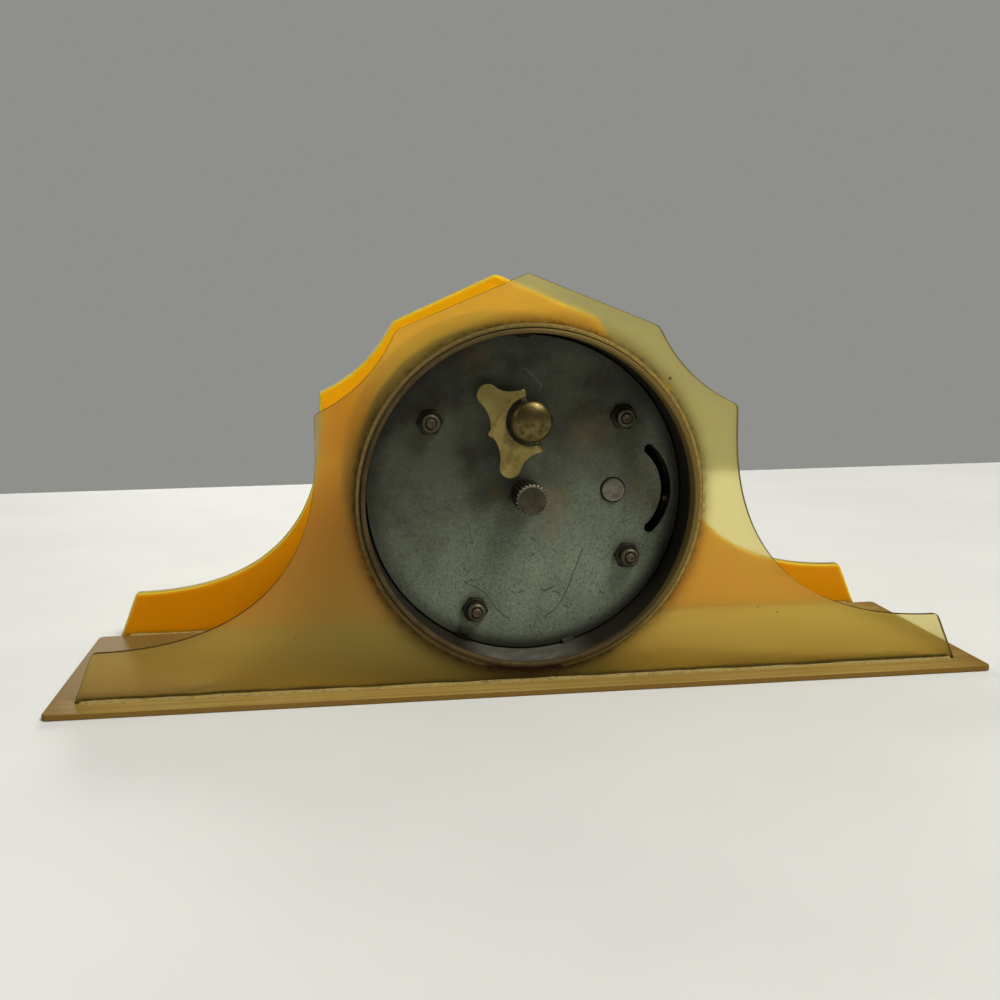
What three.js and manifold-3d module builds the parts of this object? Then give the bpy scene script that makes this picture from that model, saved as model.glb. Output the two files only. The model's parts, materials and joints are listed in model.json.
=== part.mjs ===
// Desk clock: two stepped sheet panels on a thin base, a metal drum between them and a wind-up movement.
// Millimetres, +Z up. The origin is the middle of the base's underside. The dial faces -Y, the key is at +Y.
import * as THREE from "three";
import { mergeVertices } from "three/addons/utils/BufferGeometryUtils.js";
import Module from "manifold-3d";

const wasm = await Module();
wasm.setup();

// Base sheet
const baseWidth = 175;
const baseDepth = 53.4;
const baseThickness = 1.1;
const baseCornerRadius = 1.2;

// Stepped outline of both panels: half widths, the ends' height, and rises above the middle of the drum
const footHalfWidth = 83;
const endHalfWidth = 79.4;
const endHeight = 10.1;
const waistHalfWidth = 38.8;
const waistRise = 10.9;
const shoulderRise = 16.5;
const rearCornerHalfWidth = 23.9;
const frontCornerHalfWidth = 22.6;
const cornerRise = 31.1;
const peakRise = 40.8;
const scallopDepth = 2;
const sweepDrop = 24;
const sweepRun = 26;
const outlineRounding = 0.9;
const outlineSteps = 14;
const cornerSteps = 3;

// Panels
const rearPanelThickness = 1.1;
const rearPanelSetback = 5.9;
const frontPanelThickness = 3;
const frontPanelStretch = 1.02;
const glueGap = 0.05;

// Drum and the rings on it
const stripUnderDrum = 4;
const coverRadius = 29.9;
const coverFit = 0.3;
const drumWall = 0.6;
const drumFit = 0.3;
const rimWidth = 0.3;
const rimDepth = 0.8;
const collarWidth = 1;
const collarDepth = 0.6;
const tabReach = 0.9;
const tabWidth = 2.4;
const tabThickness = 0.8;
const tabAngles = [-115, -74.5, 90];

// Front: bezel, crystal, spacer ring and dial
const drumNose = 0.9;
const bezelWall = 3.3;
const bezelLip = 2.2;
const bezelLipThickness = 1;
const crystalThickness = 1.2;
const crystalRise = 2;
const sightRingWall = 1.4;
const sightRingSlope = 0.6;
const dialRecess = 4.4;
const dialThickness = 0.6;
const dialFootRadius = 0.8;
const dialFootShare = 0.6;
const dialFootAngles = [95, 215, 335];
const motionSpace = 5;

// Movement frame
const coverRecess = 8.1;
const coverThickness = 1;
const coverStandOff = 3;
const plateThickness = 1.2;
const plateFit = 0.3;
const pillarRadius = 1.8;
const studRadius = 0.9;
const studProud = 4;
const rivetProud = 0.5;
const nutFlats = 4.4;
const nutHeight = 2.6;
const nutSides = 6;
const spacerRadius = 1.9;
const runningFit = 0.06;
const pressFit = 0.05;
const seatGap = 0.05;
const openFit = 0.3;
const cutMargin = 1;

// Plan of the movement, seen from behind from the middle of the drum, in shares of the cover's radius
const pillarShares = [[-0.595, 0.468], [0.63, 0.472], [0.652, -0.418], [-0.334, -0.732]];
const centreSpot = [0, 0];
const windingShares = [0.01, 0.475];
const balanceShares = [0.565, 0.007];
const thirdShare = 0.379;
const fourthShare = 0.341;
const escapeShare = 0.325;
const palletShare = 0.221;
const escapeRadiusShare = 0.167;
const balanceRadiusShare = 0.301;
const slotShare = 0.348;
const clickShare = 0.261;
const thirdDirection = 195;
const fourthDirection = -50;
const escapeDirection = -5;
const minuteStudDirection = 60;

// Going train: teeth and how far each level lies in front of the rear plate
const greatTeeth = 40;
const centreLeaves = 8;
const centreTeeth = 48;
const thirdLeaves = 6;
const thirdTeeth = 45;
const fourthLeaves = 6;
const fourthTeeth = 48;
const escapeLeaves = 6;
const wheelThickness = 1;
const leafOverlap = 0.3;
const escapeLevel = 6.4;
const fourthLevel = 8.6;
const greatLevel = 10.1;
const centreLevel = 12.6;
const thirdLevel = 15.5;
const arborRadius = 0.6;
const pivotRadius = 0.35;
const pivotProud = 0.2;
const wheelSeatRadius = 1;
const centreSeatRadius = 1.4;

// Tooth form, in shares of the module and of half the tooth pitch
const addendum = 0.6;
const wheelDedendum = 1.6;
const leafDedendum = 1.05;
const wheelTipShare = 0.26;
const leafTipShare = 0.16;
const leafRootShare = 0.62;

// Winding side
const windingRadius = 1.8;
const windingPivotRadius = 1;
const mainspringLevel = 1;
const mainspringWidth = 7.4;
const mainspringInner = 2.5;
const mainspringPitch = 1.5;
const mainspringTurns = 5.25;
const mainspringThickness = 0.5;
const ratchetRadius = 4.6;
const ratchetTeeth = 18;
const ratchetDepth = 0.8;
const ratchetLean = 2;
const clickPostRadius = 0.5;
const clickRadius = 1.1;
const clickNoseGap = 0.15;
const clickSpringThickness = 0.3;
const clickSpringLength = 4.4;
const clickSpringCurl = 1.5;
const clickSpringFoot = 0.3;
const hookStart = 75;
const hookEnd = 285;
const hookStep = 35;

// Folding key
const keyTurn = 106.4;
const keyGap = 0.9;
const keyStemRadius = 2.7;
const keyDomeRadius = 3.9;
const keyDomeStart = 6.6;
const keyDomeEdge = 0.7;
const keyDomeRise = 1.6;
const keyHingeHeight = 5.3;
const keyPinRadius = 0.55;
const wingThickness = 1;
const wingLobeSpread = 6.95;
const wingLobeReach = 6.05;
const wingLobeRadius = 2;
const wingNubReach = 8.1;
const wingNubHalfWidth = 0.6;
const wingWaistReach = 7;
const wingClearance = 0.65;
const lobeTop = 120;
const lobeEnd = -60;
const lobeStep = 25;
const wingSteps = 5;
const earLength = 1.4;
const earRadius = 1.15;

// Escapement and regulator
const escapeTeeth = 15;
const escapeToothDepth = 1.4;
const escapeTipShare = 0.1;
const escapeBackShare = 0.45;
const escapeGapShare = 0.8;
const palletPinRadius = 0.3;
const palletPinSpread = 35;
const palletSwing = 4;
const leverThickness = 0.8;
const leverGap = 0.4;
const leverArm = 1.4;
const leverBoss = 1.5;
const forkWidth = 2.2;
const forkSlot = 0.9;
const impulseCircle = 2;
const impulsePinRadius = 0.25;
const rollerRadius = 2.6;
const balanceLevel = 4;
const balanceThickness = 1.2;
const balanceRim = 1.3;
const balanceSpokes = 3;
const balanceHubRadius = 1.9;
const balanceSpokeWidth = 1.2;
const windowSteps = 4;
const staffRadius = 0.9;
const staffTip = 0.8;
const hairspringLevel = 2;
const hairspringWidth = 0.8;
const hairspringInner = 1.6;
const hairspringPitch = 1;
const hairspringTurns = 4;
const hairspringThickness = 0.25;
const hairspringStudRadius = 0.5;
const screwHeadRadius = 2.25;
const screwShankRadius = 1.6;
const screwHeadProud = 0.6;
const screwReach = 1.6;
const pivotGap = 0.2;
const slotWidth = 1.85;
const slotHalfAngle = 47;
const slotSteps = 4;
const regulatorLevel = 0.4;
const regulatorThickness = 0.8;
const regulatorRing = 1.2;
const regulatorArmWidth = 1.6;
const regulatorIndexRadius = 0.55;
const regulatorRest = -11;
const regulatorSunk = 0.25;

// Hands, motion work and setting knob
const minuteArborRadius = 0.9;
const arborCollarRadius = 1.4;
const arborCollarLength = 0.6;
const frictionWasherRadius = 2.2;
const frictionWasherThickness = 0.6;
const cannonLeaves = 10;
const minuteTeeth = 30;
const minuteLeaves = 8;
const hourTeeth = 32;
const motionDistance = 7.2;
const motionWheelThickness = 0.7;
const motionGap = 0.5;
const minuteStudRadius = 0.8;
const cannonPipeRadius = 1.38;
const hourPipeWall = 0.6;
const handThickness = 0.4;
const handGap = 0.8;
const hourHandShare = 0.5;
const minuteHandShare = 0.77;
const handTail = 5;
const handWidth = 2;
const handTaper = 0.75;
const handBossRadius = 3;
const minuteBossRadius = 2.2;
const arborTip = 1;
const hourHandTurn = 305;
const minuteHandTurn = 60;
const knobRadius = 2.85;
const knobGap = 0.7;
const knobTop = 9;
const knobKnurls = 24;
const knobKnurlDepth = 0.22;
const knobBoreDepth = 5;

// Facets of round pieces
const largeFacets = 48;
const plateFacets = 32;
const boreFacets = 16;
const smallFacets = 12;
const tinyFacets = 8;
const springFacets = 12;

// Depths along Y, worked out from the sizes above
const rearPanelFace = baseDepth / 2 - rearPanelSetback;
const frontPanelBack = -baseDepth / 2 - glueGap;
const frontPanelFace = frontPanelBack - frontPanelThickness;
const coverFace = rearPanelFace - coverRecess;
const coverBack = coverFace - coverThickness;
const rearPlateFace = coverBack - coverStandOff;
const rearPlateInside = rearPlateFace - plateThickness;
const dialFace = frontPanelFace + dialRecess;
const dialBack = dialFace + dialThickness;
const frontPlateFace = dialBack + motionSpace;
const frontPlateInside = frontPlateFace + plateThickness;
const drumFront = frontPanelFace - drumNose;
const collarFace = rearPanelFace + glueGap + collarDepth;
const drumRear = collarFace + glueGap + rimDepth;
const crystalBack = drumFront - glueGap;
const crystalEdge = crystalBack - crystalThickness;
const bezelLipBack = crystalEdge - glueGap;
const bezelFront = bezelLipBack - bezelLipThickness;

// Radii and heights worked out from the sizes above
const drumBore = coverRadius + coverFit;
const drumRadius = drumBore + drumWall;
const panelHoleRadius = drumRadius + drumFit;
const drumHeight = stripUnderDrum + panelHoleRadius;
const waistHeight = drumHeight + waistRise;
const shoulderHeight = drumHeight + shoulderRise;
const cornerHeight = drumHeight + cornerRise;
const peakHeight = drumHeight + peakRise;
const collarRadius = panelHoleRadius + collarWidth;
const bezelBore = drumRadius + drumFit;
const bezelRadius = bezelBore + bezelWall;
const bezelOpening = bezelBore - bezelLip;
const innerPlateRadius = coverRadius - plateFit;
const dialFootCircle = dialFootShare * coverRadius;
const escapeRadius = escapeRadiusShare * coverRadius;
const palletDistance = palletShare * coverRadius;
const balanceRadius = balanceRadiusShare * coverRadius;
const slotCircle = slotShare * coverRadius;
const clickCircle = clickShare * coverRadius;
const hourHandReach = hourHandShare * coverRadius;
const minuteHandReach = minuteHandShare * coverRadius;

// Small number helpers
const radians = THREE.MathUtils.degToRad;
const degrees = THREE.MathUtils.radToDeg;

function polar(from, distance, direction) {
  const angle = radians(direction);
  return [from[0] + distance * Math.cos(angle), from[1] + distance * Math.sin(angle)];
}

function bearing(from, to) {
  return Math.atan2(to[1] - from[1], to[0] - from[0]);
}

function span(from, to) {
  return Math.hypot(to[0] - from[0], to[1] - from[1]);
}

// Solids: plates and turned pieces along the clock's depth, which is the local z axis here, joins and cuts
function circlePoints(spot, radius, facets) {
  const points = [];
  for (let i = 0; i < facets; i += 1) {
    const angle = (2 * Math.PI * i) / facets;
    points.push(new THREE.Vector2(spot[0] + radius * Math.cos(angle), spot[1] + radius * Math.sin(angle)));
  }
  return points;
}

function roundShape(radius, facets) {
  return new THREE.Shape(circlePoints([0, 0], radius, facets));
}

function addHole(shape, spot, radius, facets = smallFacets) {
  shape.holes.push(new THREE.Path(circlePoints(spot, radius, facets)));
}

function plate(shape, from, to) {
  const geometry = new THREE.ExtrudeGeometry(shape, { depth: to - from, bevelEnabled: false });
  return geometry.translate(0, 0, from);
}

function turned(profile, facets) {
  const loop = profile.map(([radius, along]) => new THREE.Vector2(radius, along));
  if (THREE.ShapeUtils.area(loop) < 0) {
    loop.reverse();
  }
  if (loop[0].x > 0) {
    loop.push(loop[0].clone());
  }
  return new THREE.LatheGeometry(loop, facets).rotateX(Math.PI / 2);
}

function rod(radius, from, to, facets = smallFacets) {
  return turned([[0, from], [radius, from], [radius, to], [0, to]], facets);
}

function tube(inner, outer, from, to, facets = smallFacets) {
  return turned([[inner, from], [outer, from], [outer, to], [inner, to]], facets);
}

function solid(geometry) {
  const bare = geometry.clone();
  bare.deleteAttribute("normal");
  bare.deleteAttribute("uv");
  const merged = mergeVertices(bare);
  const corners = [];
  for (let i = 0; i < merged.index.count; i += 3) {
    const [a, b, c] = [merged.index.getX(i), merged.index.getX(i + 1), merged.index.getX(i + 2)];
    if (a !== b && b !== c && c !== a) {
      corners.push(a, b, c);
    }
  }
  const vertProperties = new Float32Array(merged.attributes.position.array);
  return new wasm.Manifold(new wasm.Mesh({ numProp: 3, vertProperties, triVerts: new Uint32Array(corners) }));
}

function surface(body) {
  const mesh = body.getMesh();
  const geometry = new THREE.BufferGeometry();
  geometry.setAttribute("position", new THREE.BufferAttribute(mesh.vertProperties, 3));
  geometry.setIndex(new THREE.BufferAttribute(mesh.triVerts, 1));
  geometry.computeVertexNormals();
  return geometry;
}

function joined(first, ...others) {
  return surface(others.reduce((body, other) => body.add(solid(other)), solid(first)));
}

function cut(first, ...tools) {
  return surface(tools.reduce((body, tool) => body.subtract(solid(tool)), solid(first)));
}

// A flat strip of even thickness that follows a path, such as a spring
function stripShape(path, thickness) {
  const left = [];
  const right = [];
  path.forEach((point, i) => {
    const ahead = path[Math.min(i + 1, path.length - 1)];
    const behind = path[Math.max(i - 1, 0)];
    const along = ahead.clone().sub(behind).normalize();
    const side = new THREE.Vector2(-along.y, along.x).multiplyScalar(thickness / 2);
    left.push(point.clone().add(side));
    right.push(point.clone().sub(side));
  });
  return new THREE.Shape([...left, ...right.reverse()]);
}

function spiralPath(spot, inner, pitch, turns, endAngle) {
  const points = [];
  const count = Math.round(turns * springFacets);
  for (let i = 0; i <= count; i += 1) {
    const angle = endAngle - (2 * Math.PI * (count - i)) / springFacets;
    const radius = inner + (pitch * i) / springFacets;
    points.push(new THREE.Vector2(spot[0] + radius * Math.cos(angle), spot[1] + radius * Math.sin(angle)));
  }
  return points;
}

// Finishes
const finishes = {
  paleSheet: { color: 0xb9a765, roughness: 0.4, metalness: 0 },
  amberSheet: { color: 0xd8890c, roughness: 0.25, metalness: 0 },
  oliveSheet: { color: 0x7a6028, roughness: 0.35, metalness: 0 },
  drumSteel: { color: 0x5a5040, roughness: 0.5, metalness: 0.8 },
  darkSteel: { color: 0x3f443c, roughness: 0.6, metalness: 0.6 },
  plainSteel: { color: 0x86827c, roughness: 0.4, metalness: 0.9 },
  brass: { color: 0x84743a, roughness: 0.4, metalness: 0.9 },
  wheelBrass: { color: 0xb08d3c, roughness: 0.35, metalness: 0.9 },
  springSteel: { color: 0x4c525c, roughness: 0.35, metalness: 0.9 },
  dialPaint: { color: 0xe6dcc0, roughness: 0.6, metalness: 0 },
  handPaint: { color: 0x1c1a18, roughness: 0.5, metalness: 0.2 },
  glass: { color: 0xe8f0f0, roughness: 0.05, metalness: 0 },
};

function addPart(parent, name, geometry, finish, spot = [0, 0], turn = 0) {
  const mesh = new THREE.Mesh(geometry, new THREE.MeshStandardMaterial(finishes[finish]));
  mesh.name = name;
  mesh.position.set(spot[0], spot[1], 0);
  mesh.rotation.z = turn;
  parent.add(mesh);
  return mesh;
}

// Case: base sheet
function baseSheet() {
  const shape = new THREE.Shape();
  const x = baseWidth / 2 - baseCornerRadius;
  const y = baseDepth / 2 - baseCornerRadius;
  shape.absarc(x, y, baseCornerRadius, 0, Math.PI / 2);
  shape.absarc(-x, y, baseCornerRadius, Math.PI / 2, Math.PI);
  shape.absarc(-x, -y, baseCornerRadius, Math.PI, 1.5 * Math.PI);
  shape.absarc(x, -y, baseCornerRadius, 1.5 * Math.PI, 2 * Math.PI);
  const options = { depth: baseThickness, bevelEnabled: false, curveSegments: cornerSteps };
  return new THREE.ExtrudeGeometry(shape, options);
}

// Case: half of the stepped outline, from the foot up to the peak, with its corners rounded
function roundedCorner(before, corner, after) {
  const start = corner.clone().add(before.clone().sub(corner).setLength(outlineRounding));
  const end = corner.clone().add(after.clone().sub(corner).setLength(outlineRounding));
  return new THREE.QuadraticBezierCurve(start, corner, end).getPoints(cornerSteps);
}

function halfOutline(bottom, stretch, cornerHalfWidth) {
  const at = (x, z) => new THREE.Vector2(x, z * stretch);
  const slope = (footHalfWidth - endHalfWidth) / (endHeight - baseThickness);
  const foot = new THREE.Vector2(footHalfWidth + slope * (baseThickness - bottom), bottom);
  const end = at(endHalfWidth, endHeight);
  const waist = at(waistHalfWidth, waistHeight);
  const shoulder = at(waistHalfWidth, shoulderHeight);
  const corner = at(cornerHalfWidth, cornerHeight);
  const peak = at(0, peakHeight);
  const sweep = new THREE.CubicBezierCurve(
    end.clone().sub(new THREE.Vector2(outlineRounding, 0)),
    at(endHalfWidth - sweepRun, endHeight),
    at(waistHalfWidth, waistHeight - sweepDrop),
    waist,
  );
  const chord = corner.clone().sub(shoulder);
  const inward = new THREE.Vector2(-chord.y, chord.x).setLength(2 * scallopDepth);
  const pull = shoulder.clone().add(corner).multiplyScalar(0.5).add(inward);
  const scallop = new THREE.QuadraticBezierCurve(shoulder, pull, corner);
  const scallopPoints = scallop.getPoints(outlineSteps / 2).filter((point) => (
    point.distanceTo(shoulder) > outlineRounding && point.distanceTo(corner) > outlineRounding
  ));
  return [
    foot,
    ...roundedCorner(foot, end, at(endHalfWidth - sweepRun, endHeight)),
    ...sweep.getPoints(outlineSteps).slice(1),
    ...roundedCorner(waist, shoulder, pull),
    ...scallopPoints,
    ...roundedCorner(pull, corner, peak),
    peak,
  ];
}

function panelShape(bottom, stretch, cornerHalfWidth) {
  const right = halfOutline(bottom, stretch, cornerHalfWidth);
  const left = right.slice(0, -1).reverse().map((point) => new THREE.Vector2(-point.x, point.y));
  const shape = new THREE.Shape([...right, ...left]);
  addHole(shape, [0, drumHeight], panelHoleRadius, largeFacets);
  return shape;
}

// Case: drum with its rolled rim and the bent tabs that hold the movement
function drumShell() {
  const rimRadius = drumRadius + rimWidth;
  const rimStart = drumRear - rimDepth;
  const shell = turned([
    [drumBore, drumFront],
    [drumRadius, drumFront],
    [drumRadius, rimStart],
    [rimRadius, rimStart],
    [rimRadius, drumRear],
    [drumBore, drumRear],
  ], largeFacets);
  const tabFrom = coverFace + seatGap;
  const tabs = tabAngles.map((direction) => {
    const length = tabReach + drumWall / 2;
    const tab = new THREE.BoxGeometry(length, tabWidth, tabThickness);
    tab.translate(drumBore - tabReach + length / 2, 0, tabFrom + tabThickness / 2);
    return tab.rotateZ(radians(direction));
  });
  return joined(shell, ...tabs);
}

function bezel() {
  const rear = frontPanelFace - glueGap;
  return turned([
    [bezelBore, rear],
    [bezelRadius, rear],
    [bezelRadius, (rear + bezelFront) / 2],
    [bezelBore, bezelFront],
    [bezelOpening, bezelFront],
    [bezelOpening, bezelLipBack],
    [bezelBore, bezelLipBack],
  ], largeFacets);
}

function crystal() {
  const edge = drumRadius;
  const domeEdge = bezelOpening - drumFit;
  const back = [];
  const front = [];
  for (let i = 0; i <= cornerSteps; i += 1) {
    const radius = (domeEdge * i) / cornerSteps;
    const rise = crystalRise * (1 - (i / cornerSteps) ** 2);
    back.push([radius, crystalBack - rise]);
    front.push([radius, crystalEdge - rise]);
  }
  return turned([...back, [edge, crystalBack], [edge, crystalEdge], ...front.reverse()], plateFacets);
}

function sightRing() {
  const outer = coverRadius;
  const inner = outer - sightRingWall;
  const from = crystalBack + seatGap;
  const to = dialFace - seatGap;
  return turned([[inner, from], [outer, from], [outer, to], [inner - sightRingSlope, to]], largeFacets);
}

function dial() {
  const shape = roundShape(coverRadius, largeFacets);
  addHole(shape, [0, 0], cannonPipeRadius + runningFit + hourPipeWall + openFit, boreFacets);
  const feet = dialFootAngles.map((direction) => {
    const [x, y] = polar(centreSpot, dialFootCircle, direction);
    const foot = rod(dialFootRadius, dialFace + dialThickness / 2, frontPlateFace - seatGap, tinyFacets);
    return foot.translate(x, y, 0);
  });
  return joined(plate(shape, dialFace, dialBack), ...feet);
}

// Train positions and modules
const onCover = (shares) => shares.map((share) => share * coverRadius);
const pillarSpots = pillarShares.map(onCover);
const windingSpot = onCover(windingShares);
const balanceSpot = onCover(balanceShares);
const thirdSpot = polar(centreSpot, thirdShare * coverRadius, thirdDirection);
const fourthSpot = polar(thirdSpot, fourthShare * coverRadius, fourthDirection);
const escapeSpot = polar(fourthSpot, escapeShare * coverRadius, escapeDirection);
const meshModule = (from, to, teeth, leafCount) => (2 * span(from, to)) / (teeth + leafCount);
const greatModule = meshModule(windingSpot, centreSpot, greatTeeth, centreLeaves);
const thirdModule = meshModule(centreSpot, thirdSpot, centreTeeth, thirdLeaves);
const fourthModule = meshModule(thirdSpot, fourthSpot, thirdTeeth, fourthLeaves);
const escapeModule = meshModule(fourthSpot, escapeSpot, fourthTeeth, escapeLeaves);
const palletTurn = bearing(escapeSpot, balanceSpot);
const palletSpot = polar(escapeSpot, palletDistance, degrees(palletTurn));
const minuteSpot = polar(centreSpot, motionDistance, minuteStudDirection);
const minuteModule = meshModule(centreSpot, minuteSpot, minuteTeeth, cannonLeaves);
const hourModule = meshModule(centreSpot, minuteSpot, hourTeeth, minuteLeaves);

// A level is a distance in front of the rear plate's inner face
const level = (distance) => rearPlateInside - distance;

// Gears: straight-flanked teeth, one of them pointing along local x
function gearShape(teeth, module, corners) {
  const points = [];
  for (let i = 0; i < teeth; i += 1) {
    for (const [height, share] of corners) {
      const radius = module * (teeth / 2 + height);
      const angle = (Math.PI * (2 * i + share)) / teeth;
      points.push(new THREE.Vector2(radius * Math.cos(angle), radius * Math.sin(angle)));
    }
  }
  return new THREE.Shape(points);
}

function wheelShape(teeth, module) {
  return gearShape(teeth, module, [
    [addendum, -wheelTipShare],
    [addendum, wheelTipShare],
    [-wheelDedendum, 1],
  ]);
}

function leaves(count, module, from, to) {
  const shape = gearShape(count, module, [
    [-leafDedendum, -leafRootShare],
    [addendum, -leafTipShare],
    [addendum, leafTipShare],
    [-leafDedendum, leafRootShare],
  ]);
  return plate(shape, from, to);
}

// An arbor between the plates with a pivot at each end and a seat for its wheel
function trainArbor(seatFrom, seatTo) {
  const rear = rearPlateInside - seatGap;
  const front = frontPlateInside + seatGap;
  return turned([
    [0, frontPlateFace - pivotProud],
    [pivotRadius, frontPlateFace - pivotProud],
    [pivotRadius, front],
    [arborRadius, front],
    [arborRadius, seatTo],
    [wheelSeatRadius, seatTo],
    [wheelSeatRadius, seatFrom],
    [arborRadius, seatFrom],
    [arborRadius, rear],
    [pivotRadius, rear],
    [pivotRadius, rearPlateFace + pivotProud],
    [0, rearPlateFace + pivotProud],
  ], tinyFacets);
}

function pinion(count, module, meshLevel, seatLevel) {
  const arbor = trainArbor(level(seatLevel - leafOverlap), level(seatLevel + wheelThickness + leafOverlap));
  const from = level(meshLevel + wheelThickness + leafOverlap);
  return joined(arbor, leaves(count, module, from, level(meshLevel - leafOverlap)));
}

function trainWheel(teeth, module, atLevel, bore) {
  const shape = wheelShape(teeth, module);
  addHole(shape, [0, 0], bore, boreFacets);
  return plate(shape, level(atLevel + wheelThickness), level(atLevel));
}

// Movement frame: plates
function slotPath() {
  const half = slotWidth / 2;
  const end = radians(slotHalfAngle);
  const path = new THREE.Path();
  const [x, y] = balanceSpot;
  const capUp = polar(balanceSpot, slotCircle, slotHalfAngle);
  const capDown = polar(balanceSpot, slotCircle, -slotHalfAngle);
  path.absarc(x, y, slotCircle + half, -end, end, false);
  path.absarc(capUp[0], capUp[1], half, end, end + Math.PI, false);
  path.absarc(x, y, slotCircle - half, end, -end, true);
  path.absarc(capDown[0], capDown[1], half, Math.PI - end, 2 * Math.PI - end, false);
  return new THREE.Path(path.getPoints(slotSteps));
}

function backCover() {
  const shape = roundShape(coverRadius, largeFacets);
  pillarSpots.forEach((spot) => addHole(shape, spot, studRadius + runningFit, tinyFacets));
  addHole(shape, windingSpot, windingRadius + openFit);
  addHole(shape, centreSpot, minuteArborRadius + openFit);
  addHole(shape, balanceSpot, screwHeadRadius + openFit / 2, boreFacets);
  shape.holes.push(slotPath());
  return plate(shape, coverBack, coverFace);
}

function movementPlate(from, to, windingHole, slotted) {
  const shape = roundShape(innerPlateRadius, plateFacets);
  pillarSpots.forEach((spot) => addHole(shape, spot, studRadius + runningFit, tinyFacets));
  addHole(shape, windingSpot, windingHole, boreFacets);
  addHole(shape, centreSpot, minuteArborRadius + runningFit);
  addHole(shape, balanceSpot, screwShankRadius + runningFit, boreFacets);
  for (const spot of [thirdSpot, fourthSpot, escapeSpot, palletSpot]) {
    addHole(shape, spot, pivotRadius + runningFit, tinyFacets);
  }
  if (slotted) {
    shape.holes.push(slotPath());
  } else {
    addHole(shape, minuteSpot, minuteStudRadius + runningFit, tinyFacets);
  }
  return plate(shape, from, to);
}

function pillar() {
  return turned([
    [0, frontPlateFace - rivetProud],
    [studRadius, frontPlateFace - rivetProud],
    [studRadius, frontPlateInside + seatGap],
    [pillarRadius, frontPlateInside + seatGap],
    [pillarRadius, rearPlateInside - seatGap],
    [studRadius, rearPlateInside - seatGap],
    [studRadius, coverFace + studProud],
    [0, coverFace + studProud],
  ], tinyFacets);
}

function pillarNut() {
  const shape = roundShape(nutFlats / Math.sqrt(3), nutSides);
  addHole(shape, [0, 0], studRadius + runningFit);
  return plate(shape, coverFace + seatGap, coverFace + seatGap + nutHeight);
}

// Winding side
const ratchetLevel = greatLevel - wheelThickness - openFit;

function windingArbor() {
  const hubEnd = coverFace + keyHingeHeight - keyPinRadius - openFit;
  const front = frontPlateInside + seatGap;
  return turned([
    [0, frontPlateFace - pivotProud],
    [windingPivotRadius, frontPlateFace - pivotProud],
    [windingPivotRadius, front],
    [windingRadius, front],
    [windingRadius, hubEnd],
    [0, hubEnd],
  ], boreFacets);
}

function greatWheel() {
  const body = trainWheel(greatTeeth, greatModule, greatLevel, windingRadius + runningFit);
  const postTop = level(ratchetLevel - seatGap);
  const post = rod(clickPostRadius, level(greatLevel + wheelThickness / 2), postTop, tinyFacets);
  return joined(body, post.translate(0, clickCircle, 0));
}

function ratchetWheel() {
  const points = [];
  for (let i = 0; i < ratchetTeeth; i += 1) {
    const angle = (2 * Math.PI * i) / ratchetTeeth;
    const root = ratchetRadius - ratchetDepth;
    const lean = angle + radians(ratchetLean);
    points.push(new THREE.Vector2(ratchetRadius * Math.cos(angle), ratchetRadius * Math.sin(angle)));
    points.push(new THREE.Vector2(root * Math.cos(lean), root * Math.sin(lean)));
  }
  const shape = new THREE.Shape(points);
  addHole(shape, [0, 0], windingRadius + pressFit, boreFacets);
  return plate(shape, level(ratchetLevel + wheelThickness), level(ratchetLevel));
}

// The click turns on the great wheel's post and its nose stops just clear of the ratchet's teeth
function clickPiece() {
  const nose = new THREE.Vector2(0, -(clickCircle - ratchetRadius - clickNoseGap));
  const shape = new THREE.Shape();
  shape.moveTo(nose.x, nose.y);
  shape.lineTo(clickRadius, nose.y / 2);
  shape.absarc(0, 0, clickRadius, 0, Math.PI, false);
  shape.lineTo(-clickRadius, 0);
  shape.closePath();
  const outline = new THREE.Shape(shape.getPoints(cornerSteps));
  addHole(outline, [0, 0], clickPostRadius + runningFit, tinyFacets);
  return plate(outline, level(ratchetLevel + wheelThickness - seatGap), level(ratchetLevel + seatGap));
}

function clickSpring() {
  const start = -clickRadius - openFit - clickSpringThickness;
  const path = [];
  for (let i = 0; i <= tinyFacets; i += 1) {
    const along = i / tinyFacets;
    const reach = clickCircle - clickRadius + clickSpringLength * (along - clickSpringFoot);
    path.push(new THREE.Vector2(start - clickSpringCurl * along ** 2, reach));
  }
  const shape = stripShape(path, clickSpringThickness);
  return plate(shape, level(greatLevel - seatGap), level(ratchetLevel + seatGap));
}

function mainspring() {
  const coil = spiralPath(windingSpot, mainspringInner, mainspringPitch, mainspringTurns, Math.PI / 2);
  const hookRadius = pillarRadius + openFit + mainspringThickness / 2;
  const hook = [];
  for (let direction = hookStart; direction <= hookEnd; direction += hookStep) {
    hook.push(new THREE.Vector2(...polar(pillarSpots[0], hookRadius, direction)));
  }
  const shape = stripShape([...coil, ...hook], mainspringThickness);
  return plate(shape, level(mainspringLevel + mainspringWidth), level(mainspringLevel));
}

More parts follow.
